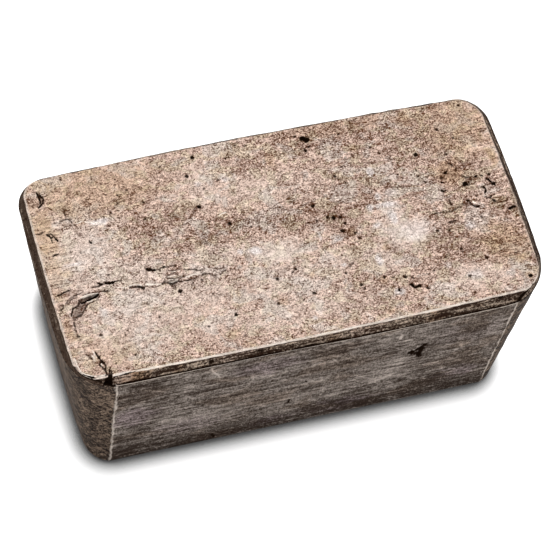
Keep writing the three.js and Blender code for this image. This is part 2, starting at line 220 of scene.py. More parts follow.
CRACKS = (
    # From the gap in the lip, with the loop it makes and the thin cracks beside it
    (0.5, 1.1, (-52.2, -21.3, 0.17), (-52.1, -22.2, 0.22), (-51.7, -23, 0.35), (-51.45, -23.6, 0.39),
     (-51.25, -24.4, 0.26)),
    (0.4, 0.95, (-51.3, -24.2, 0.47), (-50.85, -25, 0.23), (-50.8, -25.8, 0.23), (-51, -26.5, 0.19),
     (-50.9, -28.2, 0.28)),
    (0.4, 0.95, (-51.5, -24.2, 0.37), (-52, -24.6, 0.28), (-51.9, -25.2, 0.28), (-51.5, -25.7, 0.23),
     (-51.2, -26.6, 0.23), (-51.1, -27.6, 0.23)),
    (-0.1, 1, (-51.65, -24.8, 0.3), (-51.55, -25.2, 0.3)),
    (-0.15, 1.2, (-52.7, -20.9, 0.3), (-52.55, -22, 0.4), (-52.4, -22.4, 0.2)),
    (-0.1, 0.8, (-53.2, -22.2, 0.3), (-52.9, -22.9, 0.3)),
    (0.3, 0.85, (-54.4, -21.6, 0.28), (-53.9, -22, 0.37), (-53.4, -22.9, 0.28)),
    (0.2, 0.75, (-54.1, -21, 0.2), (-53.6, -21.6, 0.25), (-53.5, -22.2, 0.2)),
    (0.2, 0.35, (-52.9, -23.3, 0.9), (-52.5, -24.3, 1.2), (-52.1, -25.6, 0.8)),
    (0.4, 1.06, (-50, -26.3, 0.17), (-50.3, -27, 0.26), (-50.4, -28.2, 0.3)),
    (0.3, 0.95, (-49.9, -26.9, 0.19), (-49.9, -28.2, 0.28)),
    (0.3, 0.9, (-51.6, -28.4, 0.23), (-51, -27.6, 0.23)),
    # Where the rim has broken away round the corner, with a black gap under its new edge
    (0.25, 0.85, (-57.9, -24.6, 0.47), (-57.4, -26.6, 0.74), (-56.4, -27.9, 0.84), (-54.9, -28.6, 0.74),
     (-53.1, -28.9, 0.74)),
    (0.6, 1.3, (-56.5, -26.8, 0.26), (-55.9, -27.35, 0.44), (-54.9, -27.8, 0.44), (-54.3, -28, 0.4),
     (-54, -28.5, 0.35)),
    (-0.15, 1.2, (-57.4, -22, 0.25), (-57.1, -24.5, 0.25), (-56.7, -25.9, 0.25), (-55.8, -26.8, 0.28),
     (-54.3, -27.6, 0.25), (-52.5, -27.95, 0.25), (-51.4, -27.85, 0.25)),
    # Near the far left corner: a lens-shaped flake, and a hook
    (0.4, 0.75, (-54.5, 23.1, 0.3), (-54.2, 22.3, 0.7), (-54.1, 21.4, 0.7), (-54.4, 20.7, 0.4)),
    (0.4, 1.1, (-54.8, 23.8, 0.17), (-54.6, 22.6, 0.26), (-54.45, 21.2, 0.26), (-54.8, 20.6, 0.13)),
    (0.4, 1.1, (-54.5, 23.3, 0.17), (-54, 22.7, 0.22), (-53.65, 21.9, 0.26), (-53.9, 20.9, 0.26),
     (-54.5, 20.2, 0.26), (-55.3, 19.6, 0.26)),
    (0.25, 0.85, (-57.7, 12.5, 0.23), (-56.7, 12.4, 0.33), (-56.2, 12.7, 0.28), (-55.7, 12.9, 0.19)),
    (0.4, 1.14, (-55.3, 12.1, 0.22), (-54.8, 11.5, 0.35), (-54.6, 10.8, 0.3), (-54.6, 9.6, 0.22)),
    (0.35, 1.06, (-54.9, 11.9, 0.17), (-54.2, 11.9, 0.26), (-53.8, 11.2, 0.26), (-53.5, 10.4, 0.22),
     (-53.2, 9.7, 0.17)),
    (0.3, 1.1, (-55.2, 6, 0.3), (-53.9, 6.2, 0.3)),
    (0.2, 0.85, (-49.5, 17.7, 0.28), (-49.8, 17, 0.33), (-49.7, 16, 0.23)),
    (0.2, 0.85, (-51.2, 14.8, 0.33), (-50.3, 15.1, 0.28), (-49.2, 15, 0.33), (-48.8, 13.9, 0.28),
     (-48.1, 12.9, 0.33), (-47.7, 12.2, 0.19)),
    (0.2, 0.7, (-48, 11.2, 0.25), (-47, 9.4, 0.25)),
    (0.3, 1.06, (-45.9, 8, 0.26), (-45.5, 7.3, 0.3)),
    (-0.1, 0.9, (-47.9, 13.3, 0.3), (-46.2, 13.6, 0.4), (-44.7, 13, 0.4), (-43, 12.5, 0.3),
     (-41.4, 11.8, 0.2)),
    (0.1, 0.4, (-38, -20.4, 0.5), (-38.9, -25, 0.5), (-39.5, -26.9, 0.4)),
    # Along the middle
    (0.15, 0.6, (-2.4, -14.4, 0.25), (-1.6, -17.9, 0.25)),
    (0.2, 0.8, (-20.1, 9.3, 0.28), (-18.9, 11.2, 0.37)),
    (-0.1, 0.8, (-13.9, 7.9, 0.2), (-12.9, 8.3, 0.25), (-12, 8.4, 0.2)),
    (0.1, 0.5, (8.3, 3.1, 0.4), (23.6, 3, 0.35), (30.1, 3.2, 0.3)),
    (0.15, 0.6, (26.8, 13.9, 0.3), (30.3, 14.1, 0.25)),
    (0.15, 0.65, (27.3, 6.8, 0.35), (30.3, 6.2, 0.3), (34.1, 5.7, 0.3)),
    # Toward the right end: a fold with a flake, and a cluster of holes
    (0.25, 0.85, (36.8, -3, 0.19), (38.8, -3.1, 0.33), (40.3, -3.3, 0.33), (41.8, -3.3, 0.28),
     (43.1, -2.8, 0.28), (43.9, -2.5, 0.33)),
    (-0.1, 0.6, (38.3, -2.7, 0.2), (41.3, -2.8, 0.25)),
    (0.25, 0.75, (44.7, -2, 0.6), (45.6, -2.3, 0.9), (46.4, -1.8, 0.7)),
    (0.25, 0.99, (45.9, -1.3, 0.26), (46.4, -1.3, 0.35)),
    (0.3, 0.95, (46.7, -2.2, 0.47), (47.1, -2.9, 0.6), (47.9, -3.4, 0.65), (48.5, -3.3, 0.42)),
    (0.45, 1.21, (47.8, -3.5, 0.35), (48.5, -3.3, 0.3)),
    (-0.15, 1, (47.4, -2.2, 0.6), (48.1, -2.7, 0.4)),
    (0.25, 0.95, (41.8, -0.2, 0.28), (41.9, -0.8, 0.28), (42, -1.6, 0.33)),
    (0.4, 1.25, (40.7, 2.9, 0.4), (41.3, 2.5, 0.35), (42.2, 2.6, 0.18)),
    (0.35, 1.18, (41.5, 5, 0.3), (42, 5.05, 0.22)),
    (0.4, 1.21, (43, 7.5, 0.3), (43.5, 7.4, 0.39), (43.8, 7.8, 0.26)),
    (0.3, 0.95, (44.7, 10, 0.37), (45.3, 9.7, 0.42), (45.6, 9.2, 0.37)),
    (0.2, 0.85, (46.4, 8.3, 0.33), (46, 7.6, 0.37)),
    (0.3, 0.85, (47.2, 5.6, 0.33), (48.2, 5.1, 0.42), (48.9, 4.8, 0.47)),
    (0.25, 0.9, (48.5, 4.4, 0.28), (49.2, 3.8, 0.23)),
    (0.3, 0.9, (48.1, 3.7, 0.33), (48, 2.9, 0.33)),
    (0.4, 1.25, (50.1, 4.85, 0.4), (50.4, 4.95, 0.44)),
    (0.35, 1.14, (51.5, 4.9, 0.26), (51.9, 4.6, 0.26)),
    (0.5, 1.21, (52.8, 3.6, 0.48), (53.2, 3, 0.26), (53.5, 2.5, 0.3), (53.9, 1.8, 0.52)),
    (0.3, 1.1, (54, 2.2, 0.26), (54.4, 2.3, 0.17)),
    (0.35, 1.06, (51.2, 1.5, 0.39), (51.6, 0.9, 0.26), (51.5, 0.3, 0.26), (51.1, 0, 0.35)),
    (0.25, 0.99, (50.8, -1.2, 0.22), (51.1, -1.6, 0.26), (51.8, -1.7, 0.26), (52.4, -1.3, 0.26)),
    (0.3, 1.1, (52.5, -2.5, 0.39), (52.7, -3, 0.26)),
    (0.15, 0.75, (53.2, -3.3, 0.3), (54.3, -3.5, 0.3), (55.5, -3.4, 0.3), (55.9, -3, 0.3),
     (55.4, -2.5, 0.25), (54.3, -2.4, 0.3)),
    (0.4, 1.21, (55.4, -5.8, 0.3), (56, -5.6, 0.26), (56.5, -5.4, 0.43), (57, -5.5, 0.26)),
    (0.25, 0.95, (39.9, -6.2, 0.19), (40.9, -6.2, 0.28), (41.7, -6.1, 0.37)),
    (0.15, 0.75, (53.2, 8.7, 0.25), (52.3, 7.6, 0.3)),
    (0.15, 0.8, (51.9, 11.7, 0.33), (51.8, 10.5, 0.28)),
    (0.5, 1.25, (25.7, -20.7, 0.66), (26.4, -21.6, 0.44), (27.6, -21.4, 0.35)),
)
# Holes that gas left in the top: middle and radius
GAS_HOLES = (
    (47.1, 3.4, 0.45), (53.6, 4.7, 0.32), (41.9, 6.2, 0.25), (45.1, 12.5, 0.28), (48.7, -0.6, 0.25),
    (50, -0.3, 0.22), (37.8, 14, 0.35), (31.7, 9.5, 0.25), (45, 19.9, 0.3), (48.2, 16.6, 0.25),
    (37.7, 5.9, 0.25), (36.3, 8, 0.25), (48.3, 8.3, 0.2), (50.1, 8.4, 0.2), (46.7, 3, 0.25),
    (52.2, 6.1, 0.22), (52.4, 25.4, 0.25), (36.5, 9.8, 0.25), (53.1, -1, 0.2), (48.1, -6.4, 0.25),
    (46.4, -6, 0.2), (36.6, -7.8, 0.3), (39.3, -8.3, 0.25), (45.5, -6.8, 0.2), (40.6, -13.9, 0.28),
    (40.7, -14.7, 0.22), (40.1, -21.5, 0.3), (45.7, -17.6, 0.3), (32.3, -18.3, 0.25), (36.1, -15.3, 0.25),
    (54.6, -24.8, 0.4), (40, -26.3, 0.25), (53.1, -17.9, 0.22), (22.4, -21.4, 0.32), (2.4, -17.7, 0.3),
    (14, -18.1, 0.32), (14.5, -19, 0.25), (13.6, -11.9, 0.25), (12.8, -12.6, 0.25), (20, -17.2, 0.28),
    (22, -17.9, 0.22), (11.3, -14.2, 0.3), (16.8, -3.9, 0.3), (14.1, -2.7, 0.35), (17.3, -5.6, 0.28),
    (15.2, -0.8, 0.32), (26.7, -19, 0.28), (24.9, -18.3, 0.3), (29.3, -22.4, 0.3), (12, 24.5, 0.6),
    (12.9, 23.9, 0.5), (10.3, 25.5, 0.25), (12.8, 21.9, 0.3), (11.7, 21, 0.35), (14.7, 19.6, 0.22),
    (12.8, 18, 0.2), (16.8, 22.3, 0.2), (9, 5.6, 0.35), (8.7, 1.4, 0.28), (6.7, 1.2, 0.25),
    (11.5, 1.7, 0.3), (12.9, 1.3, 0.35), (14.5, 1.1, 0.3), (18.2, 20.4, 0.25), (20.9, 23.9, 0.25),
    (22.6, 17, 0.22), (29.1, 16.4, 0.25), (27.4, 18.5, 0.25), (19.1, 14.8, 0.25), (16.6, 12.4, 0.28),
    (17.2, 11.6, 0.22), (18.6, 10.2, 0.25), (-17.3, -19.2, 0.38), (-16.8, -25, 0.22), (-5.2, -12, 0.3),
    (-0.9, -11, 0.25), (-0.1, -10.4, 0.3), (-0.5, -19, 0.22), (-2.9, -19.6, 0.22), (-6.8, -18.6, 0.28),
    (-24.4, -20.7, 0.22), (-21.2, -12.4, 0.22), (-15.7, 25.2, 0.36), (-24.2, 24.3, 0.22),
    (-18.5, 20.4, 0.35), (-15.3, 16.1, 0.25), (-17.9, 11.4, 0.4), (-12, 5.3, 0.35), (-7.3, 4.5, 0.22),
    (-7.2, 3.3, 0.25), (-10.8, 1.8, 0.22), (-8, 23.2, 0.25), (-7, 23.3, 0.2), (-11.5, 17.8, 0.25),
    (-5.8, 20.8, 0.2), (-2.4, 25.6, 0.22), (-4.7, 26.3, 0.22), (-43.3, -24.2, 0.25), (-49.7, -17.3, 0.28),
    (-35.1, -15.7, 0.25), (-33, -12.6, 0.22), (-36.8, -11.7, 0.22), (-43.4, -17.5, 0.2),
    (-44.1, -18.5, 0.22), (-46.4, -20.1, 0.2), (-48.2, -25.4, 0.22), (-38.1, -18.8, 0.2),
    (-43.9, -2, 0.25), (-54.9, -16.4, 0.28), (-54.7, -17.4, 0.22), (-28.5, -10, 0.35),
    (-48.3, 26.1, 0.22), (-50.7, 25.5, 0.2), (-47.1, 23.3, 0.2), (-38.9, 19.6, 0.22), (-36.2, 18.9, 0.22),
    (-39.1, 22.8, 0.2), (-35.6, 23.3, 0.22), (-33.6, 19.8, 0.25), (-36.6, 16.8, 0.25),
    (-38.9, 14.4, 0.25), (-40.7, 13.8, 0.22), (-42.4, 15.3, 0.2), (-40.3, 11.1, 0.22),
    (-30.5, 15.6, 0.25), (-31.4, 11, 0.25), (-50.3, 3.3, 0.2), (-48.7, 5.4, 0.2), (-50.9, 6.2, 0.22),
    (-43, 7.6, 0.22), (-50.7, 13.2, 0.2),
)
# Depth of a hole for each mm of its radius, and its dirt, which grows with the radius
HOLE_DEPTH = 1.1
HOLE_DIRT = 0.4
HOLE_DIRT_GROWTH = 2
HOLE_DIRT_LIMIT = 1.3
# How far each mark spreads past its line's own width, its dirt past the mark, and how far
# from its line it is looked for
MARK_SPREAD = 0.03
STAIN_MARGIN = 0.08
MARK_REACH = 0.6
# Marks on the dressed wall, as on the top, with X along the bar and Z up the wall
WALL_MARKS = (
    # The nick: a deep upright cut, and a shallower dent beside it
    (0.9, 1.3, (28.6, 30.8, 0.2), (28.3, 29.5, 0.7), (28.1, 27.6, 0.9), (27.9, 26.6, 0.8),
     (28.3, 24.7, 0.3)),
    (0.7, 1.2, (27.9, 29.4, 0.5), (26.8, 28.5, 0.6), (25.8, 27.9, 0.8), (25.1, 27.8, 0.3)),
    (0.6, 1.15, (27.7, 26.5, 0.6), (26.7, 26.9, 0.4), (25.9, 27.3, 0.5)),
    # Deep scratches and dents
    (0.35, 0.95, (-22.2, 4.5, 0.2), (-21.8, 3.5, 0.6), (-21.3, 2.5, 0.3)),
    (0.2, 0.8, (-48.8, 37.3, 0.5), (-48.8, 37.1, 0.5)),
    (0.15, 0.7, (-0.6, 24.5, 0.3), (-0.4, 23.9, 0.3)),
    (0.15, 0.8, (-3.5, 15.5, 0.3), (-3.7, 14.1, 0.5)),
    (0.06, 0.35, (-41, 31.5, 0.4), (-36, 31.6, 0.8), (-30, 31.3, 0.8), (-24, 30.9, 0.7),
     (-18.5, 30.6, 0.3)),
    (0.05, 0.55, (-47, 42.1, 0.5), (-38, 41.7, 0.7), (-33, 41.5, 0.4)),
    (0.05, 0.42, (-21, 24.5, 0.3), (-13, 24.5, 0.6), (-5, 24.1, 0.3)),
    # Bright scratches
    (-0.05, 1.3, (-25.9, 43, 0.25), (-24.9, 40.3, 0.35), (-24, 38.1, 0.25)),
    (-0.03, 0.8, (-24, 38.1, 0.25), (-22.8, 35.5, 0.25)),
    (-0.02, 0.5, (-11.6, 33.5, 0.3), (-10.2, 31.6, 0.3)),
    (-0.02, 0.45, (-15.2, 34.9, 0.5), (-14.6, 31.9, 0.5)),
    (-0.02, 0.45, (-48, 20.8, 0.3), (-41, 20.5, 0.3), (-34, 20, 0.3)),
    (-0.02, 0.5, (-42.5, 28.7, 0.5), (-39.5, 28.6, 0.7)),
    (-0.02, 0.5, (-36.2, 18.8, 0.5), (-35.6, 17.6, 0.4)),
    (-0.02, 0.45, (-46.5, 26.4, 0.4), (-45.3, 24.3, 0.4)),
    (-0.02, 0.5, (5, 34.1, 0.35), (7, 30.9, 0.3)),
    (-0.02, 0.5, (9.5, 34.5, 0.3), (11, 31.3, 0.3)),
    (-0.03, 0.7, (21.6, 39.7, 0.6), (21.6, 37.3, 0.6)),
    (-0.02, 0.6, (22.8, 35.7, 0.3), (24.2, 35.1, 0.3), (25.3, 34.3, 0.3)),
    (-0.02, 0.6, (28, 35.7, 0.6), (28.6, 35.6, 0.4)),
    (-0.02, 0.6, (37.6, 28.5, 0.4), (38.4, 26.9, 0.6), (39.4, 24.9, 0.35)),
    (-0.02, 0.55, (22.4, 26.3, 0.3), (23.4, 26.5, 0.3), (24, 24.8, 0.3)),
    (-0.02, 0.55, (28, 20.1, 0.35), (30.5, 19.3, 0.4), (34, 19.1, 0.3)),
    (-0.02, 0.45, (16.6, 15.3, 0.4), (19, 16.1, 0.8), (22.4, 17.7, 0.8)),
    (-0.02, 0.5, (38, 11.8, 0.4), (42, 11.3, 0.5), (46, 11.2, 0.3)),
    (-0.02, 0.5, (27.2, 13.8, 0.4), (28.3, 12.7, 0.4)),
    (-0.02, 0.5, (35.4, 15.9, 0.4), (35.9, 14.3, 0.5)),
    (-0.02, 0.45, (31, 11.9, 0.3), (32, 10.5, 0.3)),
    (-0.02, 0.4, (24, 8.9, 0.3), (25, 7.3, 0.3)),
    (-0.02, 0.35, (4.8, 19.4, 0.5), (4.5, 12.9, 0.5)),
    # The worn upper edge, under the ledge, with a painted highlight along it
    (-0.02, 1, (-50, 44.85, 0.45), (-40, 44.85, 0.4), (-20, 44.85, 0.35), (-2, 44.85, 0.4)),
    (-0.02, 1.3, (-1, 44.8, 0.5), (8, 44.75, 0.65), (20, 44.75, 0.65), (35, 44.75, 0.65),
     (49.5, 44.8, 0.5)),
)
# Marks on the near side of the lip, with X along the bar and Z up
LIP_MARKS = (
    (0.25, 1.1, (-49.4, 46.2, 0.3), (-47, 46.5, 0.4), (-44.6, 46.7, 0.3)),
    (0.3, 0.9, (-58, 46.2, 1.2), (-55, 46, 1.4), (-53, 45.6, 1)),
    (0.2, 0.9, (-26.6, 45.2, 0.4), (-25.6, 45.4, 0.6)),
    (0.2, 0.9, (-14.4, 45.5, 0.5), (-13.8, 45.4, 0.4)),
    (0.2, 0.9, (45.6, 46.2, 0.5), (46.4, 46.3, 0.5)),
    (0.4, 1.1, (50.7, 44.9, 0.4), (52.4, 45.6, 0.7), (54.2, 46.5, 0.5)),
)
# Where the lip did not fill at the near left corner: the gap's left and right sides at its
# foot and at the rim, how each side curves between them, and how deep the gap goes in
GAP_FOOT = (-52.1, -49.9)
GAP_RIM = (-50.7, -50.1)
GAP_CURVES = (2, 1)
GAP_BACK = -27.9
# The mesh is finer this far along from the gap's middle, and this far behind its back
GAP_FINE_HALF = 2.2
GAP_FINE_BACK = 0.6

# How far the ledge over the dressed wall sags: place along the bar, and the sag there
LEDGE_SAG = ((-52, 0.4), (-46, 0.8), (-30, 0.9), (-10, 0.95), (0, 1.3), (10, 1.65), (25, 1.6),
             (40, 1.45), (47, 1.4), (52, 0.4))
# How far the left arris bows toward the right: height, and the bow there
ARRIS_BOW = ((4, 0), (14, 0.4), (24, 0.5), (34, 0.95), (39, 1.1), (44.2, 0.7))

# Patches of tint on the top: middle, half sizes along and across, and strength. Calm
# patches have a quieter grain, and scrape is where the skin was rubbed along the bar.
TINTS = {
    "ochre": (
        (-42, 21, 17, 8, 0.6), (-57, 8, 5, 16, 0.6), (50, 19, 10, 9, 0.6), (52, -14, 7, 6, 0.7),
        (43.8, 7.5, 3.6, 4, 0.9), (22, 26, 16, 3, 0.4), (-50, -22, 9, 6, 0.3), (-43.8, -29, 3.8, 1, 0.9),
        (-34, -29, 1.5, 0.8, 0.6), (4, -29, 2, 0.8, 0.5), (30, -29, 2, 0.8, 0.5), (-55.5, 12, 3, 8, 0.9),
        (-56.7, 8, 1.2, 3, 1), (-56.6, -14.5, 1.1, 5, 0.7), (2.7, 20.5, 1.5, 2.6, 0.6),
        (23.5, 18.9, 1.4, 1.2, 0.7), (3.4, -12.9, 0.8, 1, 0.7), (19.8, -18.3, 1.2, 1, 0.6),
        (18.8, -26.7, 1.6, 1, 0.6), (23, -9.8, 1.4, 1, 0.7), (-5.3, -18.5, 1.2, 1, 0.5),
        (-16, -27.3, 2, 1, 0.5), (-19, -24, 1.5, 1.5, 0.5), (54.8, 14.5, 1, 1.4, 0.8),
        (37.5, 24, 2, 2.4, 0.7), (56, 9.5, 1.2, 3, 0.9), (51.2, -14.2, 3.4, 3, 0.9),
        (53.6, -19.4, 1.4, 1.8, 0.8), (47.5, -15.4, 1.2, 1, 0.6), (15.7, -3.5, 1.6, 1.3, 0.9),
        (54.3, -3, 1.5, 0.8, 0.8), (54.3, -24.8, 1.2, 1, 0.7),
    ),
    "silver": (
        (-47.2, -29, 2.4, 1, 0.8), (-20, -28.9, 5, 0.5, 0.5), (12, -28.9, 5, 0.5, 0.5),
        (-42.3, 12.6, 2.8, 0.9, 1), (-47.5, -11.5, 1.5, 1.4, 0.8), (-11.7, -2.9, 0.8, 0.8, 0.9),
        (-8, -3.3, 1.4, 1.1, 1), (-16.3, 17.6, 1, 0.9, 0.8), (-9.8, 17.5, 1, 0.9, 0.8),
        (25.4, 11.7, 0.9, 1.2, 1), (22.3, 2, 0.9, 1.3, 1), (26.4, 1.9, 3, 0.9, 1),
        (25, 4.4, 0.9, 1.2, 0.9), (28.5, 5.2, 1.8, 1, 0.7), (27, -1.7, 1.1, 1.9, 1),
        (20.2, -12.8, 0.9, 1.7, 1), (22.4, -22, 1.4, 0.9, 1), (12.5, -4.7, 1.1, 0.6, 0.9),
        (22.5, -3.1, 1.1, 0.6, 0.9), (11.5, -11.9, 0.8, 0.5, 1), (8.2, -3.1, 0.35, 1.2, 0.8),
        (31, -7, 5.5, 2.8, 0.55), (44.8, -8.2, 1.3, 1.1, 0.8), (41.5, -21.5, 1.9, 1.4, 0.7),
        (50.4, -23, 1.2, 1, 0.6), (36, -17.5, 1.2, 1, 0.6), (0.7, -24.3, 0.7, 0.7, 0.9),
        (-51, 2.5, 2.8, 0.5, 0.8),
    ),
    "pale": (
        (-50, 6, 12, 12, 0.8), (-50, 4.5, 10, 4, 0.9), (-55, 6, 5, 18, 0.6), (-41, -3, 15, 5, 0.8),
        (-30, -11, 20, 7, 0.7), (-3.5, -5, 8, 3.5, 1), (-2, -13, 10, 5, 0.7), (10, -11, 5, 4, 0.5),
        (21, -12, 5, 5, 0.6), (28, -6, 7, 5.5, 0.8), (27, 1, 2.6, 3, 1), (-16, 17, 4, 6, 0.5),
        (-4, 14, 10, 4, 0.4), (6, 12, 8, 4, 0.3), (28, 11, 4, 4, 0.4), (40, -22, 8, 4, 0.5),
        (-42, -18, 13, 7, 0.6), (-2, -21, 22, 5, 0.4), (-18, -3, 11, 3, 0.6), (47, -23, 6, 4, 0.3),
        (-40, 12, 5, 2, 0.5),
    ),
    "shade": (
        (-30, 8, 11, 4, 0.4), (-14, 4, 14, 4, 0.55), (6, 4, 12, 5, 0.5), (24, 9, 10, 8, 0.45),
        (36, 19, 13, 9, 0.45), (20, 24, 18, 4, 0.5), (-3, 20, 5, 3, 0.5), (45, 5, 11, 7, 0.35),
        (40, -10, 7, 8, 0.4), (46, -14, 8, 5, 0.35), (-30, 22, 15, 5, 0.05), (53, -5, 7, 8, 0.35),
        (46, 20, 9, 9, 0.2), (16, -20, 8, 5, 0.3), (54, -20, 5, 7, 0.3), (-25, 10, 1.8, 2.6, 0.8),
        (-20.6, 12, 1.6, 1.2, 0.8), (-19, 1.8, 8, 1.2, 0.7), (13, 1.5, 3.5, 2, 0.8),
        (14.5, -2.6, 3.2, 2, 0.7), (12, 24, 2.2, 1.8, 1), (41.5, 17.9, 1.6, 1, 0.9),
        (33.6, 23.6, 1.6, 1.2, 0.9), (-0.8, 19.3, 1, 1.4, 0.9), (19, 21, 0.8, 5, 0.6),
        (24, -9.3, 1.3, 1.1, 0.7), (13.5, -18, 1.8, 1.8, 0.6), (56.2, -14, 0.8, 2, 0.8),
        (-56.6, 21.5, 0.9, 1.8, 0.8), (-29.5, -8.6, 1, 0.9, 0.8), (47, -18.5, 2, 1.6, 0.5),
        (0.4, -9.8, 0.8, 1.2, 0.7), (8.6, 5.6, 1, 0.9, 0.7), (44.5, 8, 3, 2.5, 0.5), (49, 4.5, 3, 2, 0.5),
    ),
    "calm": (
        (-50, -18, 10, 9, 0.9), (-55.5, 13, 4, 9, 1), (-54, -5, 6, 6, 0.8), (54, 10, 4, 9, 0.9),
        (53, -5, 5, 5, 0.5), (-28, -17, 22, 7, 0.8), (-50, 6, 10, 5, 1), (-38, 24, 18, 5, 0.9),
        (-22, 20, 12, 9, 0.6), (-7, 13, 12, 5, 0.7), (-14, -22, 30, 4, 0.6), (-2, -5, 7, 4, 0.8),
        (28, -6, 7, 5, 0.9), (46, -22, 10, 5, 0.6), (52, 22, 7, 6, 0.7),
    ),
    "scrape": (
        (-56, 2, 8, 30, 1), (54.5, -6, 7, 30, 0.9), (46, -3.5, 10, 1.6, 0.7),
    ),
}
# The same on the dressed wall, along it and up it
WALL_TINTS = {
    "violet": (
        (-44, 24.5, 6, 5, 1), (40, 11.5, 6, 3, 0.9), (10, 7, 9, 3, 1), (-8, 6, 5, 2, 0.8),
        (-30, 13, 9, 4, 0.5), (-12, 37, 9, 4, 0.8), (40, 33, 9, 7, 0.3),
    ),
    "haze": (
        (-4, 24, 26, 11, 0.35), (-12, 32.5, 5, 3.5, 1), (1.5, 32, 2.6, 3.5, 0.9), (4, 26, 2.2, 5, 0.8),
        (7, 19, 4, 3.5, 0.9), (23.5, 23, 2.5, 4.5, 0.9), (22, 18.5, 5, 3.5, 1), (-22, 16, 10, 5, 0.8),
        (-10, 18, 8, 5, 0.7), (-33, 16.5, 5, 2.5, 0.7), (-46, 26, 5, 3.5, 0.7), (21.6, 39, 0.7, 1.6, 1),
        (38.7, 26, 1.2, 1.1, 1), (35.3, 15, 1, 0.9, 1), (-46, 40.5, 6, 1.6, 0.4), (0, 42, 50, 1, 0.7),
        (46, 29, 2.5, 12, 0.5), (14, 28, 5, 3, 0.5), (-28, 34, 7, 2.5, 0.5), (33, 19, 3, 1.5, 0.6),
        (-2, 12, 9, 3, 0.6), (22, 10, 7, 2, 0.3),
    ),
    "gloom": (
        (32.7, 10, 4, 3, 0.6), (30, 16, 2.5, 3, 0.3), (-28.5, 31, 10, 0.8, 0.5),
        (-13.5, 24.8, 9, 0.8, 0.9), (-43, 36, 7, 5, 0.7), (-34, 37.5, 8, 2, 0.6), (12, 37.5, 9, 1.2, 0.4),
        (36, 32, 8, 1.2, 0.7), (36, 37, 9, 4, 0.4), (-43, 13, 6, 3.5, 0.5), (15, 32, 5, 3, 0.3),
        (-26, 25, 9, 1.6, 0.25), (31, 23, 4, 3, 0.4), (14, 13, 6, 3, 0.4), (40, 21, 6, 2, 0.4),
        (-6, 29, 4, 2, 0.3), (43, 14, 3.5, 4, 0.5), (-40, 7.5, 9, 2.5, 0.5), (9, 8, 10, 2.5, 0.6),
    ),
}

# Tarnish is matt, so the metal's edges shine less than clean metal's would
SHEEN_TINT = (0.4, 0.36, 0.32, 1.0)
WHITE = (1.0, 1.0, 1.0, 1.0)
# How far each noise field of a finish lies from the one before it
FIELD_SHIFT = (3.7, 6.1, 2.3)
# How strongly the arrises show rubbed metal, which is also their painted highlight
ARRIS_SHINE = 0.42

# Where the camera stands, as the bar shows from its near left corner
CAMERA_AIM = Vector((0.00153, 0.00002, 0.0235))
CAMERA_DISTANCE = 0.80845
CAMERA_AZIMUTH = math.radians(-26.19)
CAMERA_ELEVATION = math.radians(59.09)
CAMERA_ROLL = math.radians(11.39)
CAMERA_LENS = 212.14
CAMERA_SENSOR = 36.0

# The studio, in metres: half the floor's side, how far it lies under the bar so that the two
# faces don't mix, and the size of the soft lamps and their distance from the bar
FLOOR_HALF = 3.0
FLOOR_DROP = 0.00005
LAMP_SIZE = 0.8
LAMP_DISTANCE = 1.3
WORLD_LIGHT = 0.45
# How strongly the floor is lifted to white, and how far, in millimetres, the shadow in the
# corner between the bar and the floor reaches
FLOOR_LIFT = 0.6
CORNER_SHADOW = 4.3


def linear(hex_colour):
    """An sRGB hex colour, such as "#c8b2a4", as linear red, green and blue."""
    channels = [int(hex_colour[i:i + 2], 16) / 255 for i in (1, 3, 5)]
    return [c / 12.92 if c <= 0.04045 else ((c + 0.055) / 1.055) ** 2.4 for c in channels]


def colour_property(name, description, hex_colour):
    """A colour that a user can change."""
    return FloatVectorProperty(name=name, description=description, default=linear(hex_colour),
                               subtype="COLOR", size=3, min=0, max=1)


def length_property(name, description, millimetres):
    """A length that a user can change."""
    return FloatProperty(name=name, description=description, default=millimetres * MM,
                         unit="LENGTH", subtype="DISTANCE", min=0, precision=5)


class BarSizes(bpy.types.PropertyGroup):
    """Sizes of the bar's form, the same as its solid's."""
    length: length_property("Length", "Along the bar, over the shoulder", SOLID_LENGTH)
    width: length_property("Width", "Across the bar, over the shoulder", SOLID_WIDTH)
    height: length_property("Height", "From the bottom face to the rim", SOLID_HEIGHT)
    lip_height: length_property("Lip height", "From the shoulder to the rim", 2.8)
    end_taper: length_property("End taper", "How far each end leans in down to the bottom face", 7)
    side_taper: length_property("Side taper", "How far each side leans in down to the bottom face", 2)
    bottom_edge: length_property("Bottom edge radius", "Round edge between the walls and the bottom", 2.2)
    dressing: length_property("Dressing depth", "Metal taken off the near wall", 0.4)
    ledge: length_property("Ledge depth", "How far the lip stands back over the dressed wall", 0.4)
    rim_wear: length_property("Rim wear", "Radius that handling has given the rim", 0.35)


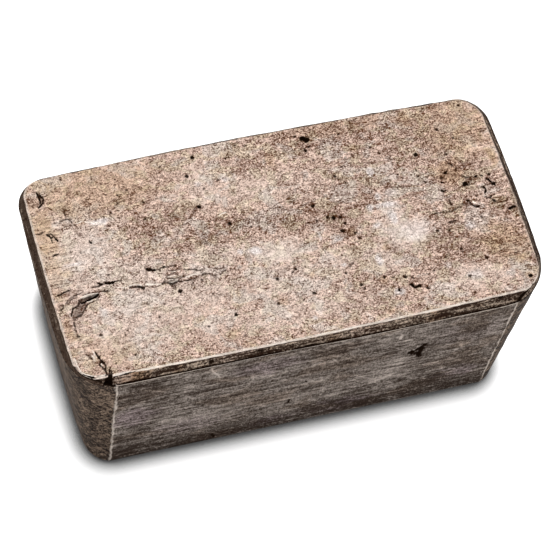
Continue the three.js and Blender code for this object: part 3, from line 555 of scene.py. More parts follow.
class BarColours(bpy.types.PropertyGroup):
    """Colours of the bar's finishes."""
    skin_pink: colour_property("Skin", "Rubbed metal of the top under warm tarnish", "#fbdfcf")
    skin_cream: colour_property("Skin, cream", "Rubbed metal of the top under yellow tarnish", "#f0e2c4")
    skin_lilac: colour_property("Skin, lilac", "Rubbed metal of the top under thin tarnish", "#efe3da")
    skin_tarnish: colour_property("Skin tarnish", "Full tarnish of the top", "#674a35")
    bare_silver: colour_property("Bare silver", "Smooth patches with little tarnish", "#efe3de")
    ochre: colour_property("Ochre", "Warm stain near the ends", "#dcb78c")
    # The worn edge colour is rubbed metal on the rim, the arrises and the ridges, and is also their painted
    # highlight
    worn_edge_highlight: colour_property("Worn edge", "Rim and arrises rubbed bright", "#fbeee2")
    # Soot: dirt in holes, folds and cracks, and painted shade in the crease at the lip's foot
    soot_and_shade: colour_property("Soot", "Dirt in holes, folds and cracks", "#1f1208")
    lip_brown: colour_property("Lip", "Rubbed layers of the lip", "#cdb9a6")
    lip_orange: colour_property("Lip, orange", "Specks of orange stain on the lip", "#ac8158")
    # Lip tarnish is written about as dark as the lip looks, so it paints in part the lip's shade
    lip_tarnish_and_shade: colour_property("Lip tarnish", "Full tarnish of the lip", "#3a2a20")
    lip_dull: colour_property("Lip, dull", "Even tarnish of the lip at the bar's ends", "#4e3e34")
    wall_grey: colour_property("Dressed wall", "Rubbed metal of the dressed wall", "#c4b8af")
    wall_violet: colour_property("Violet tint", "Thin violet tarnish on the dressed wall", "#bba9ab")
    wall_brown: colour_property("Brown tint", "Thin brown tarnish on the dressed wall", "#bfaea1")
    # Wall tarnish is written about as dark as the wall looks, so it paints in part the wall's shade
    wall_tarnish_and_shade: colour_property("Wall tarnish", "Full tarnish of the dressed wall", "#37291e")
    cast_brown: colour_property("Cast wall", "Mould-cast metal under thin tarnish", "#b8a08c")
    # Cast tarnish is written about as dark as these walls look, so it paints in part their shade
    cast_tarnish_and_shade: colour_property("Cast tarnish", "Full tarnish of the mould-cast walls", "#291e16")
    floor_white: colour_property("Floor", "Seamless studio floor", "#f4f4f4")


def smoothstep(low, high, value):
    """0 below low, 1 above high, and smooth between them."""
    share = np.clip((value - low) / (high - low), 0, 1)
    return share * share * (3 - 2 * share)


def lumps(points, size, seed):
    """Smooth seeded noise from -1 to 1, whose lumps are about size mm across.
    size is one number, or three for lumps drawn out along an axis."""
    scaled = points / np.asarray(size, float) + seed * 17.37
    cell = np.floor(scaled).astype(np.int64)
    share = scaled - cell
    share = share * share * (3 - 2 * share)
    total = np.zeros(len(points))
    for corner in itertools.product((0, 1), repeat=3):
        x, y, z = (cell + corner).T
        mixed = (x * 73856093) ^ (y * 19349663) ^ (z * 83492791) ^ (seed * 2654435761)
        mixed = (mixed ^ (mixed >> 13)) * 1274126177 & 0xFFFFFFFF
        mixed = (mixed ^ (mixed >> 15)) * 2246822519 & 0xFFFFFFFF
        weight = np.where(corner, share, 1 - share).prod(1)
        total += weight * ((mixed ^ (mixed >> 16)) / 0x7FFFFFFF - 1)
    return total


def uneven(points, layers, seed=0):
    """Noise summed from its layers, whose seeds are counted from a seed."""
    return sum(amount * lumps(points, size, seed + own) for amount, size, own in layers)


def band(distance, limits):
    """How strongly a band covers points at a distance in from an end or side of the bar."""
    start, full, strength = limits
    return strength * smoothstep(start, full, distance)


def side_points(start, end, swell, steps):
    """A side of a section, without its last point, that swells outwards at its middle."""
    share = np.linspace(0, 1, steps, endpoint=False)[:, None]
    along = (end - start) / np.linalg.norm(end - start)
    control = (start + end) / 2 + 2 * swell * np.array((along[1], -along[0]))
    return (1 - share) ** 2 * start + 2 * share * (1 - share) * control + share ** 2 * end


class BarForm:
    """Horizontal sections of the bar, in millimetres, as its solid has them. Insets go by side:
    left, right, near, far. Radii go by corner: near left, near right, far right, far left."""
    SHOULDER_RADII = np.array((12.6, 12.6, 8, 8))
    BOTTOM_RADII = np.array((7.2, 7.2, 10, 10))
    RIM_RADII = np.array((5.5, 7.2, 6.2, 4.5))
    RIM_INSETS = (1.6, 2.3, 1.5, 2)
    # How far the middle of a side stands out
    END_SWELL = 0.35
    FAR_SWELL = 0.8
    NEAR_RIM_SWELL = 0.8
    # How hollow the lip is, how far over the shoulder it ends, and how much the shoulder is worn
    LIP_HOLLOW = 0.2
    LEDGE_RISE = 0.1
    SHOULDER_WEAR = 0.13

    def __init__(self, sizes):
        self.sizes = sizes
        self.height = self.size("height")
        self.shoulder = self.height - self.size("lip_height")
        self.left = -self.size("length") / 2 + self.END_SWELL
        self.near = -self.size("width") / 2
        self.far = self.size("width") / 2 - self.FAR_SWELL

    def size(self, name):
        """One of the sizes, in millimetres."""
        return getattr(self.sizes, name) / MM

    def ring(self, z, sides, radii, dressing, near_swell):
        """One section, anticlockwise from the left side's near end. The near corners are arcs of
        the wall as it was cast, and stop at the dressed face."""
        left, right, near, far = sides
        xs = (left + radii[0], right - radii[1], right - radii[2], left + radii[3])
        ys = (near - dressing + radii[0], near - dressing + radii[1], far - radii[2], far - radii[3])
        cuts = np.arccos((radii - dressing) / radii)
        quarter = math.pi / 2
        spans = ((2 * quarter, 3 * quarter - cuts[0]), (3 * quarter + cuts[1], 4 * quarter),
                 (0, quarter), (quarter, 2 * quarter))
        corners = []
        for x, y, radius, (start, end) in zip(xs, ys, radii, spans):
            angle = np.linspace(start, end, CORNER_STEPS + 1)
            corners.append(np.stack((x + radius * np.cos(angle), y + radius * np.sin(angle)), 1))
        swells = (near_swell, self.END_SWELL, self.FAR_SWELL, self.END_SWELL)
        points = []
        for corner, following, swell, steps in zip(
                corners, corners[1:] + corners[:1], swells, (LONG_STEPS, SHORT_STEPS) * 2):
            points += [corner[:-1], side_points(corner[-1], following[0], swell, steps)]
        flat = np.concatenate(points)
        return np.column_stack((flat, np.full(len(flat), z)))

    def wall_radii(self, z):
        """The corner radii of the cast walls at a height."""
        down = 1 - z / self.shoulder
        return self.SHOULDER_RADII + (self.BOTTOM_RADII - self.SHOULDER_RADII) * down

    def wall(self, z, inset=0.0):
        """A section of the cast walls. inset is what a round edge takes off all round."""
        down = 1 - z / self.shoulder
        end, side = self.size("end_taper") * down + inset, self.size("side_taper") * down + inset
        return self.ring(z, (self.left + end, -self.left - end, self.near + side, self.far - side),
                         self.wall_radii(z) - inset, self.size("dressing"), 0.0)

    def lip(self, z, set_back, hollow):
        """A section of the lip. set_back is how far its near side stands behind the straight
        bevel, and hollow how far all sides do."""
        up = (z - self.shoulder) / self.size("lip_height")
        left, right, near, far = (inset * up + hollow for inset in self.RIM_INSETS)
        sides = (self.left + left, -self.left - right, self.near + near + set_back, self.far - far)
        return self.ring(z, sides, self.SHOULDER_RADII + (self.RIM_RADII - self.SHOULDER_RADII) * up,
                         self.size("dressing") + set_back, self.NEAR_RIM_SWELL * up)

    def arris(self, z):
        """How far each arris of the dressed wall lies from the bar's middle, at heights."""
        down = 1 - z / self.shoulder
        radius = self.SHOULDER_RADII[0] + (self.BOTTOM_RADII[0] - self.SHOULDER_RADII[0]) * down
        depth = self.size("dressing")
        corner = -self.left - self.size("end_taper") * down - radius
        return corner + np.sqrt(2 * radius * depth - depth ** 2)

    def upper_rings(self):
        """The rings from the top face's edge down to the shoulder, each with the finish of the
        faces under it."""
        wear = self.size("rim_wear")
        rings = []
        for step in range(RIM_STEPS + 1):
            angle = math.pi / 2 * (1 - step / (RIM_STEPS + 1))
            z = self.height - wear * (1 - math.sin(angle))
            rings.append((self.lip(z, 0, wear * (1 - math.cos(angle))), SKIN))
        lip_top, lip_foot = self.height - wear, self.shoulder + self.LEDGE_RISE
        for step in range(LIP_STEPS + 1):
            down = step / LIP_STEPS
            hollow = 4 * self.LIP_HOLLOW * down * (1 - down)
            z = lip_top + (lip_foot - lip_top) * down
            rings.append((self.lip(z, self.size("ledge") * down, hollow), LIP))
        rings.append((self.wall(self.shoulder, self.SHOULDER_WEAR), CAST))
        rings.append((self.wall(self.shoulder - self.SHOULDER_WEAR), CAST))
        return rings

    def lower_rings(self):
        """The rings of the walls under the shoulder and of the round bottom edge."""
        edge = self.size("bottom_edge")
        top = self.shoulder - 2 * self.SHOULDER_WEAR
        rings = [self.wall(top + (edge - top) * step / WALL_STEPS) for step in range(WALL_STEPS + 1)]
        for step in range(1, BOTTOM_EDGE_STEPS + 1):
            angle = math.pi / 2 * step / BOTTOM_EDGE_STEPS
            rings.append(self.wall(edge * (1 - math.sin(angle)), edge * (1 - math.cos(angle))))
        return rings


def patch_points(ring, steps_along, steps_across):
    """Points inside a ring, on a smooth patch between its four sides."""
    along, across = steps_along, steps_across
    closed = np.concatenate((ring, ring[:1]))
    near, right = closed[:along + 1], closed[along:along + across + 1]
    far = closed[along + across:2 * along + across + 1][::-1]
    left = closed[2 * along + across:][::-1]
    u = np.linspace(0, 1, along + 1)[1:-1, None, None]
    v = np.linspace(0, 1, across + 1)[None, 1:-1, None]
    ruled = ((1 - v) * near[1:-1, None] + v * far[1:-1, None]
             + (1 - u) * left[None, 1:-1] + u * right[None, 1:-1])
    flat = (1 - u) * (1 - v) * near[0] + u * (1 - v) * near[-1] + (1 - u) * v * far[0] + u * v * far[-1]
    return ruled - flat


class MeshParts:
    """Vertices and faces of the bar as they are put together."""

    def __init__(self):
        self.points = []
        self.count = 0
        self.faces = []
        self.finishes = []

    def add_points(self, points):
        """Adds points and returns their indices in the same layout."""
        flat = points.reshape(-1, 3)
        self.points.append(flat)
        self.count += len(flat)
        return np.arange(self.count - len(flat), self.count).reshape(points.shape[:-1])

    def add_faces(self, faces, finish):
        """Adds faces. finish is one number for all of them, or one for each."""
        self.faces += faces.tolist()
        self.finishes += np.broadcast_to(finish, len(faces)).tolist()

    def add_band(self, upper, lower, finish):
        """The faces between two rings of as many points."""
        upper_next, lower_next = np.roll(upper, -1), np.roll(lower, -1)
        self.add_faces(np.stack((lower, lower_next, upper_next, upper), 1), finish)

    def add_halving(self, upper, lower, finish):
        """The faces between a ring and one of half as many points under it."""
        first, middle, last = upper[::2], upper[1::2], np.roll(upper[::2], -1)
        after = np.roll(lower, -1)
        for triangle in ((lower, after, middle), (lower, middle, first), (after, last, middle)):
            self.add_faces(np.stack(triangle, 1), finish)

    def add_patch(self, ring, indices, corner, along, across, finish, upwards):
        """Closes a ring with a grid that starts at the middle of its first corner."""
        ring, indices = np.roll(ring, -corner, 0), np.roll(indices, -corner)
        grid = np.empty((along + 1, across + 1), int)
        closed = np.append(indices, indices[0])
        grid[:, 0], grid[-1, :] = closed[:along + 1], closed[along:along + across + 1]
        grid[:, -1] = closed[along + across:2 * along + across + 1][::-1]
        grid[0, :] = closed[2 * along + across:][::-1]
        grid[1:-1, 1:-1] = self.add_points(patch_points(ring, along, across))
        corners = (grid[:-1, :-1], grid[1:, :-1], grid[1:, 1:], grid[:-1, 1:])
        faces = np.stack([c.ravel() for c in corners], 1)
        self.add_faces(faces if upwards else faces[:, ::-1], finish)


def sound_bar(form):
    """The bar's mesh before its flaws: vertices, faces and the finish of each face. Under the
    shoulder the rings have every second point, and under the round bottom edge every fourth."""
    parts = MeshParts()
    on_near_side = np.zeros(RING_STEPS, bool)
    on_near_side[CORNER_STEPS:CORNER_STEPS + LONG_STEPS] = True
    upper = form.upper_rings()
    indices = [parts.add_points(ring) for ring, _ in upper]
    parts.add_patch(upper[0][0], indices[0], CORNER_STEPS // 2, LONG_STEPS + CORNER_STEPS,
                    SHORT_STEPS + CORNER_STEPS, SKIN, True)
    for (_, finish), above, below in zip(upper, indices, indices[1:]):
        parts.add_band(above, below, np.where(on_near_side, DRESSED, CAST) if finish == CAST else finish)
    lower = [ring[::2] for ring in form.lower_rings()]
    wall_finish = np.where(on_near_side[::2], DRESSED, CAST)
    lower_indices = [parts.add_points(ring) for ring in lower]
    parts.add_halving(indices[-1], lower_indices[0], wall_finish)
    for above, below in zip(lower_indices, lower_indices[1:]):
        parts.add_band(above, below, wall_finish)
    bottom = form.wall(0.0, form.size("bottom_edge") + BOTTOM_BAND)[::4]
    bottom_indices = parts.add_points(bottom)
    parts.add_halving(lower_indices[-1], bottom_indices, CAST)
    parts.add_patch(bottom, bottom_indices, CORNER_STEPS // 8, (LONG_STEPS + CORNER_STEPS) // 4,
                    (SHORT_STEPS + CORNER_STEPS) // 4, CAST, False)
    return np.concatenate(parts.points), parts.faces, parts.finishes


def inside_line(places, line):
    """How far each 2-D place lies inside the edge of a line of changing width. It is negative
    outside. A line of one point is a dot."""
    line = np.array(line, float)
    best = np.full(len(places), -np.inf)
    for start, end in zip(line[:-1], line[1:]) if len(line) > 1 else ((line[0], line[0]),):
        span = end[:2] - start[:2]
        share = np.clip((places - start[:2]) @ span / max(span @ span, 1e-9), 0, 1)
        gap = np.linalg.norm(places - start[:2] - share[:, None] * span, axis=1)
        best = np.maximum(best, (start[2] + (end[2] - start[2]) * share) / 2 - gap)
    return best


def around(places, line, margin):
    """The indices of the 2-D places in a box round a line."""
    line = np.array(line, float)
    low = (line[:, :2] - line[:, 2:]).min(0) - margin
    high = (line[:, :2] + line[:, 2:]).max(0) + margin
    return np.flatnonzero(((places > low) & (places < high)).all(1))


def top_marks():
    """All the marks on the top, with each gas hole as a mark of one point."""
    holes = []
    for x, y, radius in GAS_HOLES:
        dirt_and_shade = min(HOLE_DIRT_LIMIT, HOLE_DIRT + HOLE_DIRT_GROWTH * radius)
        holes.append((HOLE_DEPTH * radius, dirt_and_shade, (x, y, 2 * radius)))
    return [*FOLDS, *CRACKS, *holes]


def carve(places, marks, seed):
    """Depth, dirt and shine that marks give at 2-D places; the shine of ridges and worn edges is
    partly a painted highlight. The marks have ragged edges, and the dirt is patchy."""
    depth, raised, dirt_and_shade, wear_and_highlight = np.zeros((4, len(places)))
    flat = np.column_stack((places, np.zeros(len(places))))
    ragged_edge = uneven(flat, MARK_EDGE, seed)
    patchy = 0.97 + uneven(flat, MARK_DIRT, seed)
    for cut, strength, *line in marks:
        # A wider mark has a softer and more ragged edge
        width = max(point[2] for point in line)
        soft = min(max(0.3 * width, 0.07), 0.3)
        raggedness = min(1.2, 3 * width)
        close = around(places, line, MARK_REACH)
        inside = inside_line(places[close], line) + ragged_edge[close] * raggedness + MARK_SPREAD
        cover = smoothstep(-soft, soft, inside)
        if cut > 0:
            stain = smoothstep(-soft - STAIN_MARGIN, 0, inside) * patchy[close]
            depth[close] = np.maximum(depth[close], cut * cover)
            dirt_and_shade[close] = np.maximum(dirt_and_shade[close], strength * stain)
        else:
            raised[close] = np.maximum(raised[close], -cut * cover)
            wear_and_highlight[close] = np.maximum(wear_and_highlight[close], strength * cover)
    return depth - raised, dirt_and_shade, wear_and_highlight


def is_arris(edge):
    """Whether a mesh edge lies between the dressed wall and a cast one."""
    return {face.material_index for face in edge.link_faces} == {DRESSED, CAST}


def finer_near_marks(mesh, form):
    """Cuts the edges near marks, along the arrises and round the gap in the lip, so that these
    have their own shape."""
    bm = bmesh.new()
    bm.from_mesh(mesh)
    bm.edges.ensure_lookup_table()
    middle = np.array([[vertex.co for vertex in edge.verts] for edge in bm.edges], float).mean(1)
    chosen = np.zeros(len(middle), bool)
    on_top = middle[:, 2] > form.height - form.size("rim_wear")
    on_wall = ((middle[:, 1] < form.near + form.size("side_taper") + 0.1) & (middle[:, 2] < form.shoulder)
               & (abs(middle[:, 0]) < DRESSED_HALF + 1))
    for part, axes, marks in ((on_top, (0, 1), top_marks()), (on_wall, (0, 2), WALL_MARKS)):
        indices = np.flatnonzero(part)
        places = middle[indices][:, axes]
        for _, _, *line in marks:
            close = around(places, line, FINE_MARGIN)
            chosen[indices[close[inside_line(places[close], line) > -FINE_MARGIN]]] = True
    for arris in filter(is_arris, bm.edges):
        for vertex in arris.verts:
            chosen[[edge.index for edge in vertex.link_edges]] = True
    from_gap = abs(middle[:, 0] - sum(GAP_FOOT) / 2)
    chosen |= ((middle[:, 1] < GAP_BACK + GAP_FINE_BACK) & (from_gap < GAP_FINE_HALF)
               & (middle[:, 2] > form.shoulder))
    bmesh.ops.subdivide_edges(bm, edges=[bm.edges[i] for i in np.flatnonzero(chosen)], cuts=FINE_CUTS,
                              use_grid_fill=True)
    bmesh.ops.triangulate(bm, faces=[face for face in bm.faces if len(face.verts) > 4])
    for edge in bm.edges:
        if len(edge.link_faces) == 2:
            edge.smooth = not is_arris(edge) and edge.calc_face_angle(0) < math.radians(SHARP_ANGLE)
    bm.to_mesh(mesh)
    bm.free()


def rim_distance(form, points):
    """How far each point lies inside the rim, seen from above."""
    start = form.lip(form.height, 0, 0)[:, :2]
    span = np.roll(start, -1, 0) - start
    length = (span ** 2).sum(1)
    inside = np.empty(len(points))
    for first in range(0, len(points), RIM_BATCH):
        batch = slice(first, first + RIM_BATCH)
        gap = points[batch, None, :2] - start
        share = np.clip((gap * span).sum(2) / length, 0, 1)
        inside[batch] = np.linalg.norm(gap - share[..., None] * span, axis=2).min(1)
    return inside


def tint(points, patches, seed):
    """How strongly patches of tint cover the points, with ragged edges."""
    ragged_edge = uneven(points, TINT_EDGE, seed)
    total = np.zeros(len(points))
    for x, y, half_x, half_y, strength in patches:
        reach = np.hypot((points[:, 0] - x) / half_x, (points[:, 1] - y) / half_y)
        total = np.maximum(total, strength * smoothstep(1.35, 0.45, reach + ragged_edge))
    return total


def gap_depth(form, points):
    """How far each point of the lip lies inside the gap's three sides. It is negative outside."""
    up = np.clip((points[:, 2] - form.shoulder) / form.size("lip_height"), 0, 1)
    left, right = (foot + (rim - foot) * up ** curve
                   for foot, rim, curve in zip(GAP_FOOT, GAP_RIM, GAP_CURVES))
    inside = np.minimum.reduce((points[:, 0] - left, right - points[:, 0], GAP_BACK - points[:, 1]))
    return inside + uneven(points, GAP_EDGE)


def arris_distance(form, points):
    """How far each point lies past the nearer arris of the dressed wall. It is negative on that
    wall."""
    distance = abs(points[:, 0]) - form.arris(np.minimum(points[:, 2], form.shoulder))
    return np.where(points[:, 1] > form.near + NEAR_REACH, FAR_FROM_ARRIS, distance)


def points_and_normals(mesh):
    """A mesh's points and normals."""
    points = np.empty(3 * len(mesh.vertices))
    mesh.vertices.foreach_get("co", points)
    normals = np.empty(3 * len(mesh.vertices), np.float32)
    mesh.vertex_normals.foreach_get("vector", normals)
    return points.reshape(-1, 3), normals.reshape(-1, 3).astype(float)


def carved_skin(at, inside, crinkled):
    """Depth, dirt and shine of the poured skin, the shine partly a painted highlight: broad swells,
    lumps and crinkles, and its marks.
    inside is how far each point lies from the rim, and crinkled the share of the crinkles there."""
    relief = SKIN_DEPTH + uneven(at, SWELLS) - uneven(at, CRINKLES) * crinkled
    cut, dirt_and_shade, wear_and_highlight = carve(at[:, :2], top_marks(), 7)
    # The relief runs out toward the rim, the marks nearer to it than the rest
    relief = relief * smoothstep(0.1, 1.4, inside) + cut * smoothstep(0, 0.4, inside)
    return np.maximum(relief, 0), dirt_and_shade, wear_and_highlight


def carved_lip(form, at):
    """Depth, and dirt with painted shade, of the lip: layers along it with gaps between them, a
    black line at the foot of its near side, which is painted shade in the crease there along with
    its dirt, and its marks."""
    sheets = uneven(at, LIP_SHEETS)
    near_side = at[:, 1] < form.near + NEAR_REACH
    cut, grime, _ = carve(at[:, (0, 2)], LIP_MARKS, 8)
    relief = 0.12 + 0.11 * sheets + uneven(at, LIP_LUMPS) + cut * near_side
    seam = at[:, 2] - form.shoulder + uneven(at, LIP_SEAM)
    # The black line at the lip's foot is painted shade in the crease under it, as well as dirt
    foot = 0.85 * smoothstep(0.38, 0.1, seam)
    between_sheets = 0.4 * smoothstep(0.5, 1.1, -sheets)
    return np.maximum(relief, 0), np.maximum(between_sheets, np.maximum(foot, grime) * near_side)


def carved_walls(at, dressed):
    """Depth, dirt and shine of the walls, the shine partly a painted highlight along the worn upper
    edge: the dressed one is flat, with shallow strokes and its marks, and the others keep the
    mould's face."""
    rough = 0.09 + uneven(at, MOULD_FACE)
    strokes = 0.03 + uneven(at, STROKES)
    cut, dirt_and_shade, wear_and_highlight = np.array(carve(at[:, (0, 2)], WALL_MARKS, 9)) * dressed
    relief = np.maximum(np.where(dressed, strokes, rough), 0) + cut
    return np.maximum(relief, 0), dirt_and_shade, wear_and_highlight


def wear_and_light_layers(form, points, inside, lip, cast):
    """What the finishes measure wear and painted light from: where the lip's tarnish is dull and
    even and where the right cast wall gets painted shade, the distance in from the rim, or down
    from it on the lip, how much each stretch of the rim is rubbed and given a painted highlight,
    and the distance from the nearer arris of the dressed wall. The right arris is the sharper one."""
    x, y, z = points.T
    from_left, from_right, from_near = x - form.left, -form.left - x, y - form.near
    dull_ends = np.maximum(band(from_left, DULL_LEFT), band(from_right, DULL_RIGHT))
    # The rim's rubbed band is also where its highlight is painted, strongest on the near side
    rubbed = np.maximum.reduce((
        band(from_near, RUBBED_HIGHLIGHT_NEAR), band(from_left, RUBBED_HIGHLIGHT_LEFT), band(from_right, RUBBED_HIGHLIGHT_RIGHT)))
    patchy = np.clip(0.8 + uneven(points, RUBBED_HIGHLIGHT_PATCHES), 0, 1)
    from_arris = arris_distance(form, points)
    return {
        # On the right cast wall this layer is painted shade
        "dulled": np.maximum(lip * dull_ends, cast * smoothstep(*SHADED_RIGHT_WALL, x)),
        "rim_distance": np.where(lip, z - form.height, inside),
        "rubbed": rubbed * patchy,
        "arris_distance": np.where(x > 0, 1.9 * from_arris, 1.5 * from_arris + 0.25),
    }


def settled(form, points, moved, wall):
    """Lets the ledge over the dressed wall sag, and the left arris bow a little. moved is where
    the points lie so far."""
    x, y, z = points.T
    # The sag fades out up the lip and down the wall, and the bow faster round the corner than
    # across the dressed wall
    near_ledge = smoothstep(form.height - 0.3, form.shoulder + 0.2, z)
    near_ledge *= smoothstep(form.shoulder - 6, form.shoulder - 0.5, z)
    sag = np.interp(x, *zip(*LEDGE_SAG)) * (y < form.near + 5) * near_ledge
    from_arris = arris_distance(form, points)
    reach = np.where(from_arris < 0, 8, 5)
    bow = np.interp(z, *zip(*ARRIS_BOW)) * smoothstep(reach, 0, abs(from_arris))
    return moved + np.stack((bow * ((x < 0) & wall), np.zeros(len(x)), -sag), 1)


def age_bar(mesh, form):
    """Gives the sound bar its relief, flaws, wear and tints, with the masks of its painted highlights
    and painted shade. All relief goes inwards, so that the bar keeps its size."""
    points, normals = points_and_normals(mesh)
    x, y, z = points.T
    height, shoulder = form.height, form.shoulder
    inside = rim_distance(form, points)
    top = smoothstep(height - form.size("rim_wear"), height - 0.01, z)
    skin = top > 0
    above = z > shoulder + SHOULDER_MARGIN
    lip = above & (z < height - RIM_MARGIN)
    dressed = ~above & (y < form.near + form.size("side_taper") + 0.3) & (abs(x) < DRESSED_HALF)
    cast = ~above & ~dressed

    layers = {name: tint(points, patches, 40 + index) * above
              for index, (name, patches) in enumerate(TINTS.items())}
    layers |= {name: tint(points[:, (0, 2, 1)], patches, 50 + index) * dressed
               for index, (name, patches) in enumerate(WALL_TINTS.items())}
    layers |= wear_and_light_layers(form, points, inside, lip, cast)
    layers["ochre"] *= 1 - layers["dulled"]

    depth, dirt_and_shade, wear_and_highlight = np.zeros((3, len(points)))
    crinkled = 1 - 0.75 * layers["silver"] - 0.5 * layers["scrape"]
    depth[skin], dirt_and_shade[skin], wear_and_highlight[skin] = carved_skin(points[skin], inside[skin], crinkled[skin])
    depth *= top
    depth[lip], dirt_and_shade[lip] = carved_lip(form, points[lip])
    depth[~above], dirt_and_shade[~above], wear_and_highlight[~above] = carved_walls(points[~above], dressed[~above])
    moved = points - normals * depth[:, None]

    # The gap where the lip did not fill
    within = gap_depth(form, points)
    hole = above & (within > 0) & (y < GAP_BACK)
    moved[hole, 1] = np.maximum(moved[hole, 1], GAP_BACK + uneven(points[hole], GAP_WALL))
    dirt_and_shade = np.maximum(dirt_and_shade, smoothstep(-0.22, 0.02, within) * (z > shoulder - SHOULDER_MARGIN))
    wear_and_highlight = np.where(within > -0.1, 0, wear_and_highlight)

    # Nothing lies outside the solid's box
    low, high = (np.array(corner) / MM for corner in SOLID_BOX)
    moved = np.clip(settled(form, points, moved, ~above), low, high) * MM
    mesh.vertices.foreach_set("co", moved.astype(np.float32).ravel())
    for name, values in {"dirt_and_shade": dirt_and_shade, "wear_and_highlight": wear_and_highlight, **layers}.items():
        layer = mesh.attributes.new(name, "FLOAT", "POINT")
        layer.data.foreach_set("value", values.astype(np.float32))
    mesh.update()


def node(tree, kind, inputs=None, **settings):
    """Adds a node with its settings. An input is a value, an output socket, or a node whose
    first output in use is linked."""
    made = tree.nodes.new(kind)
    for name, value in settings.items():
        setattr(made, name, value)
    for key, value in (inputs or {}).items():
        if isinstance(key, int):
            socket = made.inputs[key]
        else:
            socket = next(s for s in made.inputs if s.enabled and s.name == key)
        if isinstance(value, bpy.types.Node):
            value = next(s for s in value.outputs if s.enabled)
        if isinstance(value, bpy.types.NodeSocket):
            tree.links.new(value, socket)
        else:
            socket.default_value = value
    return made


def rise(tree, value, low, high, kind="SMOOTHSTEP"):
    """A mask that rises from 0 to 1 as a value goes from low to high, which may be the lower of
    the two."""
    return node(tree, "ShaderNodeMapRange", {"Value": value, "From Min": low, "From Max": high},
                interpolation_type=kind)


def grown(tree, fields):
    """Noise fields by name, each shifted so that no two line up. A field is the size of its lumps
    along X, Y and Z in mm, its detail, roughness and distortion, and its tilt about X and Y in
    degrees."""
    place = node(tree, "ShaderNodeTexCoord").outputs["Object"]
    made = {}
    for index, (name, (size, detail, roughness, distortion, *tilt)) in enumerate(fields.items()):
        scaled = node(tree, "ShaderNodeMapping", {
            "Vector": place, "Location": [shift * index * MM for shift in FIELD_SHIFT],
            "Rotation": [*map(math.radians, tilt or (0, 0)), 0],
            "Scale": [side * MM for side in size]}, vector_type="TEXTURE")
        made[name] = node(tree, "ShaderNodeTexNoise", {
            "Vector": scaled, "Scale": 1.0, "Detail": detail, "Roughness": roughness,
            "Distortion": distortion})
    return made


def layer_masks(tree, *names):
    """The bar's own painted layers by name."""
    return {name: node(tree, "ShaderNodeAttribute", attribute_name=name).outputs["Fac"] for name in names}


def product(tree, mask, other):
    """One mask cut down by another, or by a number."""
    return node(tree, "ShaderNodeMath", {0: mask, 1: other}, operation="MULTIPLY")


def ragged(tree, value, noise, amount, low, high):
    """A mask of a painted layer whose edge noise has made ragged."""
    shifted = node(tree, "ShaderNodeMath", {0: noise, 1: amount, 2: value}, operation="MULTIPLY_ADD")
    return rise(tree, shifted, low, high)


def vein(tree, noise, level, width):
    """Thin worm-like lines, where a noise field passes through a level."""
    off = node(tree, "ShaderNodeMath", {0: noise, 1: level}, operation="SUBTRACT")
    return rise(tree, node(tree, "ShaderNodeMath", {0: off}, operation="ABSOLUTE"), width, width / 4)


def rubbed_arris(tree, distance, noise):
    """The rubbed strip along the arrises, which is also a painted highlight: wavy, and broken here and
    there.
    """
    shifted = node(tree, "ShaderNodeMath", {0: noise, 1: 2.6, 2: distance}, operation="MULTIPLY_ADD")
    centred = node(tree, "ShaderNodeMath", {0: shifted, 1: 1.3}, operation="SUBTRACT")
    away = node(tree, "ShaderNodeMath", {0: centred}, operation="ABSOLUTE")
    strip = product(tree, rise(tree, away, 0.7, 0.1), rise(tree, noise, 0.3, 0.5))
    return product(tree, strip, ARRIS_SHINE)


def new_material(name):
    """An empty material and its node tree."""
    material = bpy.data.materials.new(name)
    material.use_nodes = True
    material.node_tree.nodes.clear()
    return material, material.node_tree


def opaque(colour):
    """A colour property as the four numbers that a colour socket takes."""
    return (*colour, 1.0)


def laid_over(tree, base, stains):
    """A colour or number with others laid over it in order, each by its mask."""
    kind = "FLOAT" if isinstance(base, float) else "RGBA"
    result = base
    for over, mask in stains:
        result = node(tree, "ShaderNodeMix", {"Factor": mask, "A": result, "B": over}, data_type=kind)
    return result


def summed(tree, base, terms):
    """A number with others added to it, each times its weight."""
    total = base
    for value, weight in terms:
        total = node(tree, "ShaderNodeMath", {0: value, 1: weight, 2: total}, operation="MULTIPLY_ADD")
    return total


def tarnished(tree, metal, tarnish, base, grain, layers, vigour=1.0, growth="SMOOTHSTEP"):
    """A metal colour under tarnish of varying thickness. The tarnish starts from the share base,
    and each field of grain swings it about that, times the vigour, while each layer only adds to
    it. growth is the curve by which it comes up."""
    swing = product(tree, summed(tree, -sum(weight for _, weight in grain) / 2, grain), vigour)
    amount = rise(tree, summed(tree, base, ((swing, 1.0), *layers)), 0.0, 1.0, growth)
    film = laid_over(tree, WHITE, ((opaque(tarnish), amount),))
    return node(tree, "ShaderNodeMix", {"Factor": 1.0, "A": metal, "B": film}, data_type="RGBA",
                blend_type="MULTIPLY")


def metal_surface(tree, colour, roughness, metallic, relief):
    """Joins a finish's colour, roughness, metal share and relief, in mm, to the material's surface."""
    bump = node(tree, "ShaderNodeBump", {
        "Height": summed(tree, 0.0, relief), "Distance": MM, "Strength": 1.0})
    shader = node(tree, "ShaderNodeBsdfPrincipled", {
        "Base Color": colour, "Roughness": roughness, "Metallic": metallic, "Specular IOR Level": 0.25,
        "Specular Tint": SHEEN_TINT, "Normal": bump})
    node(tree, "ShaderNodeOutputMaterial", {"Surface": shader})


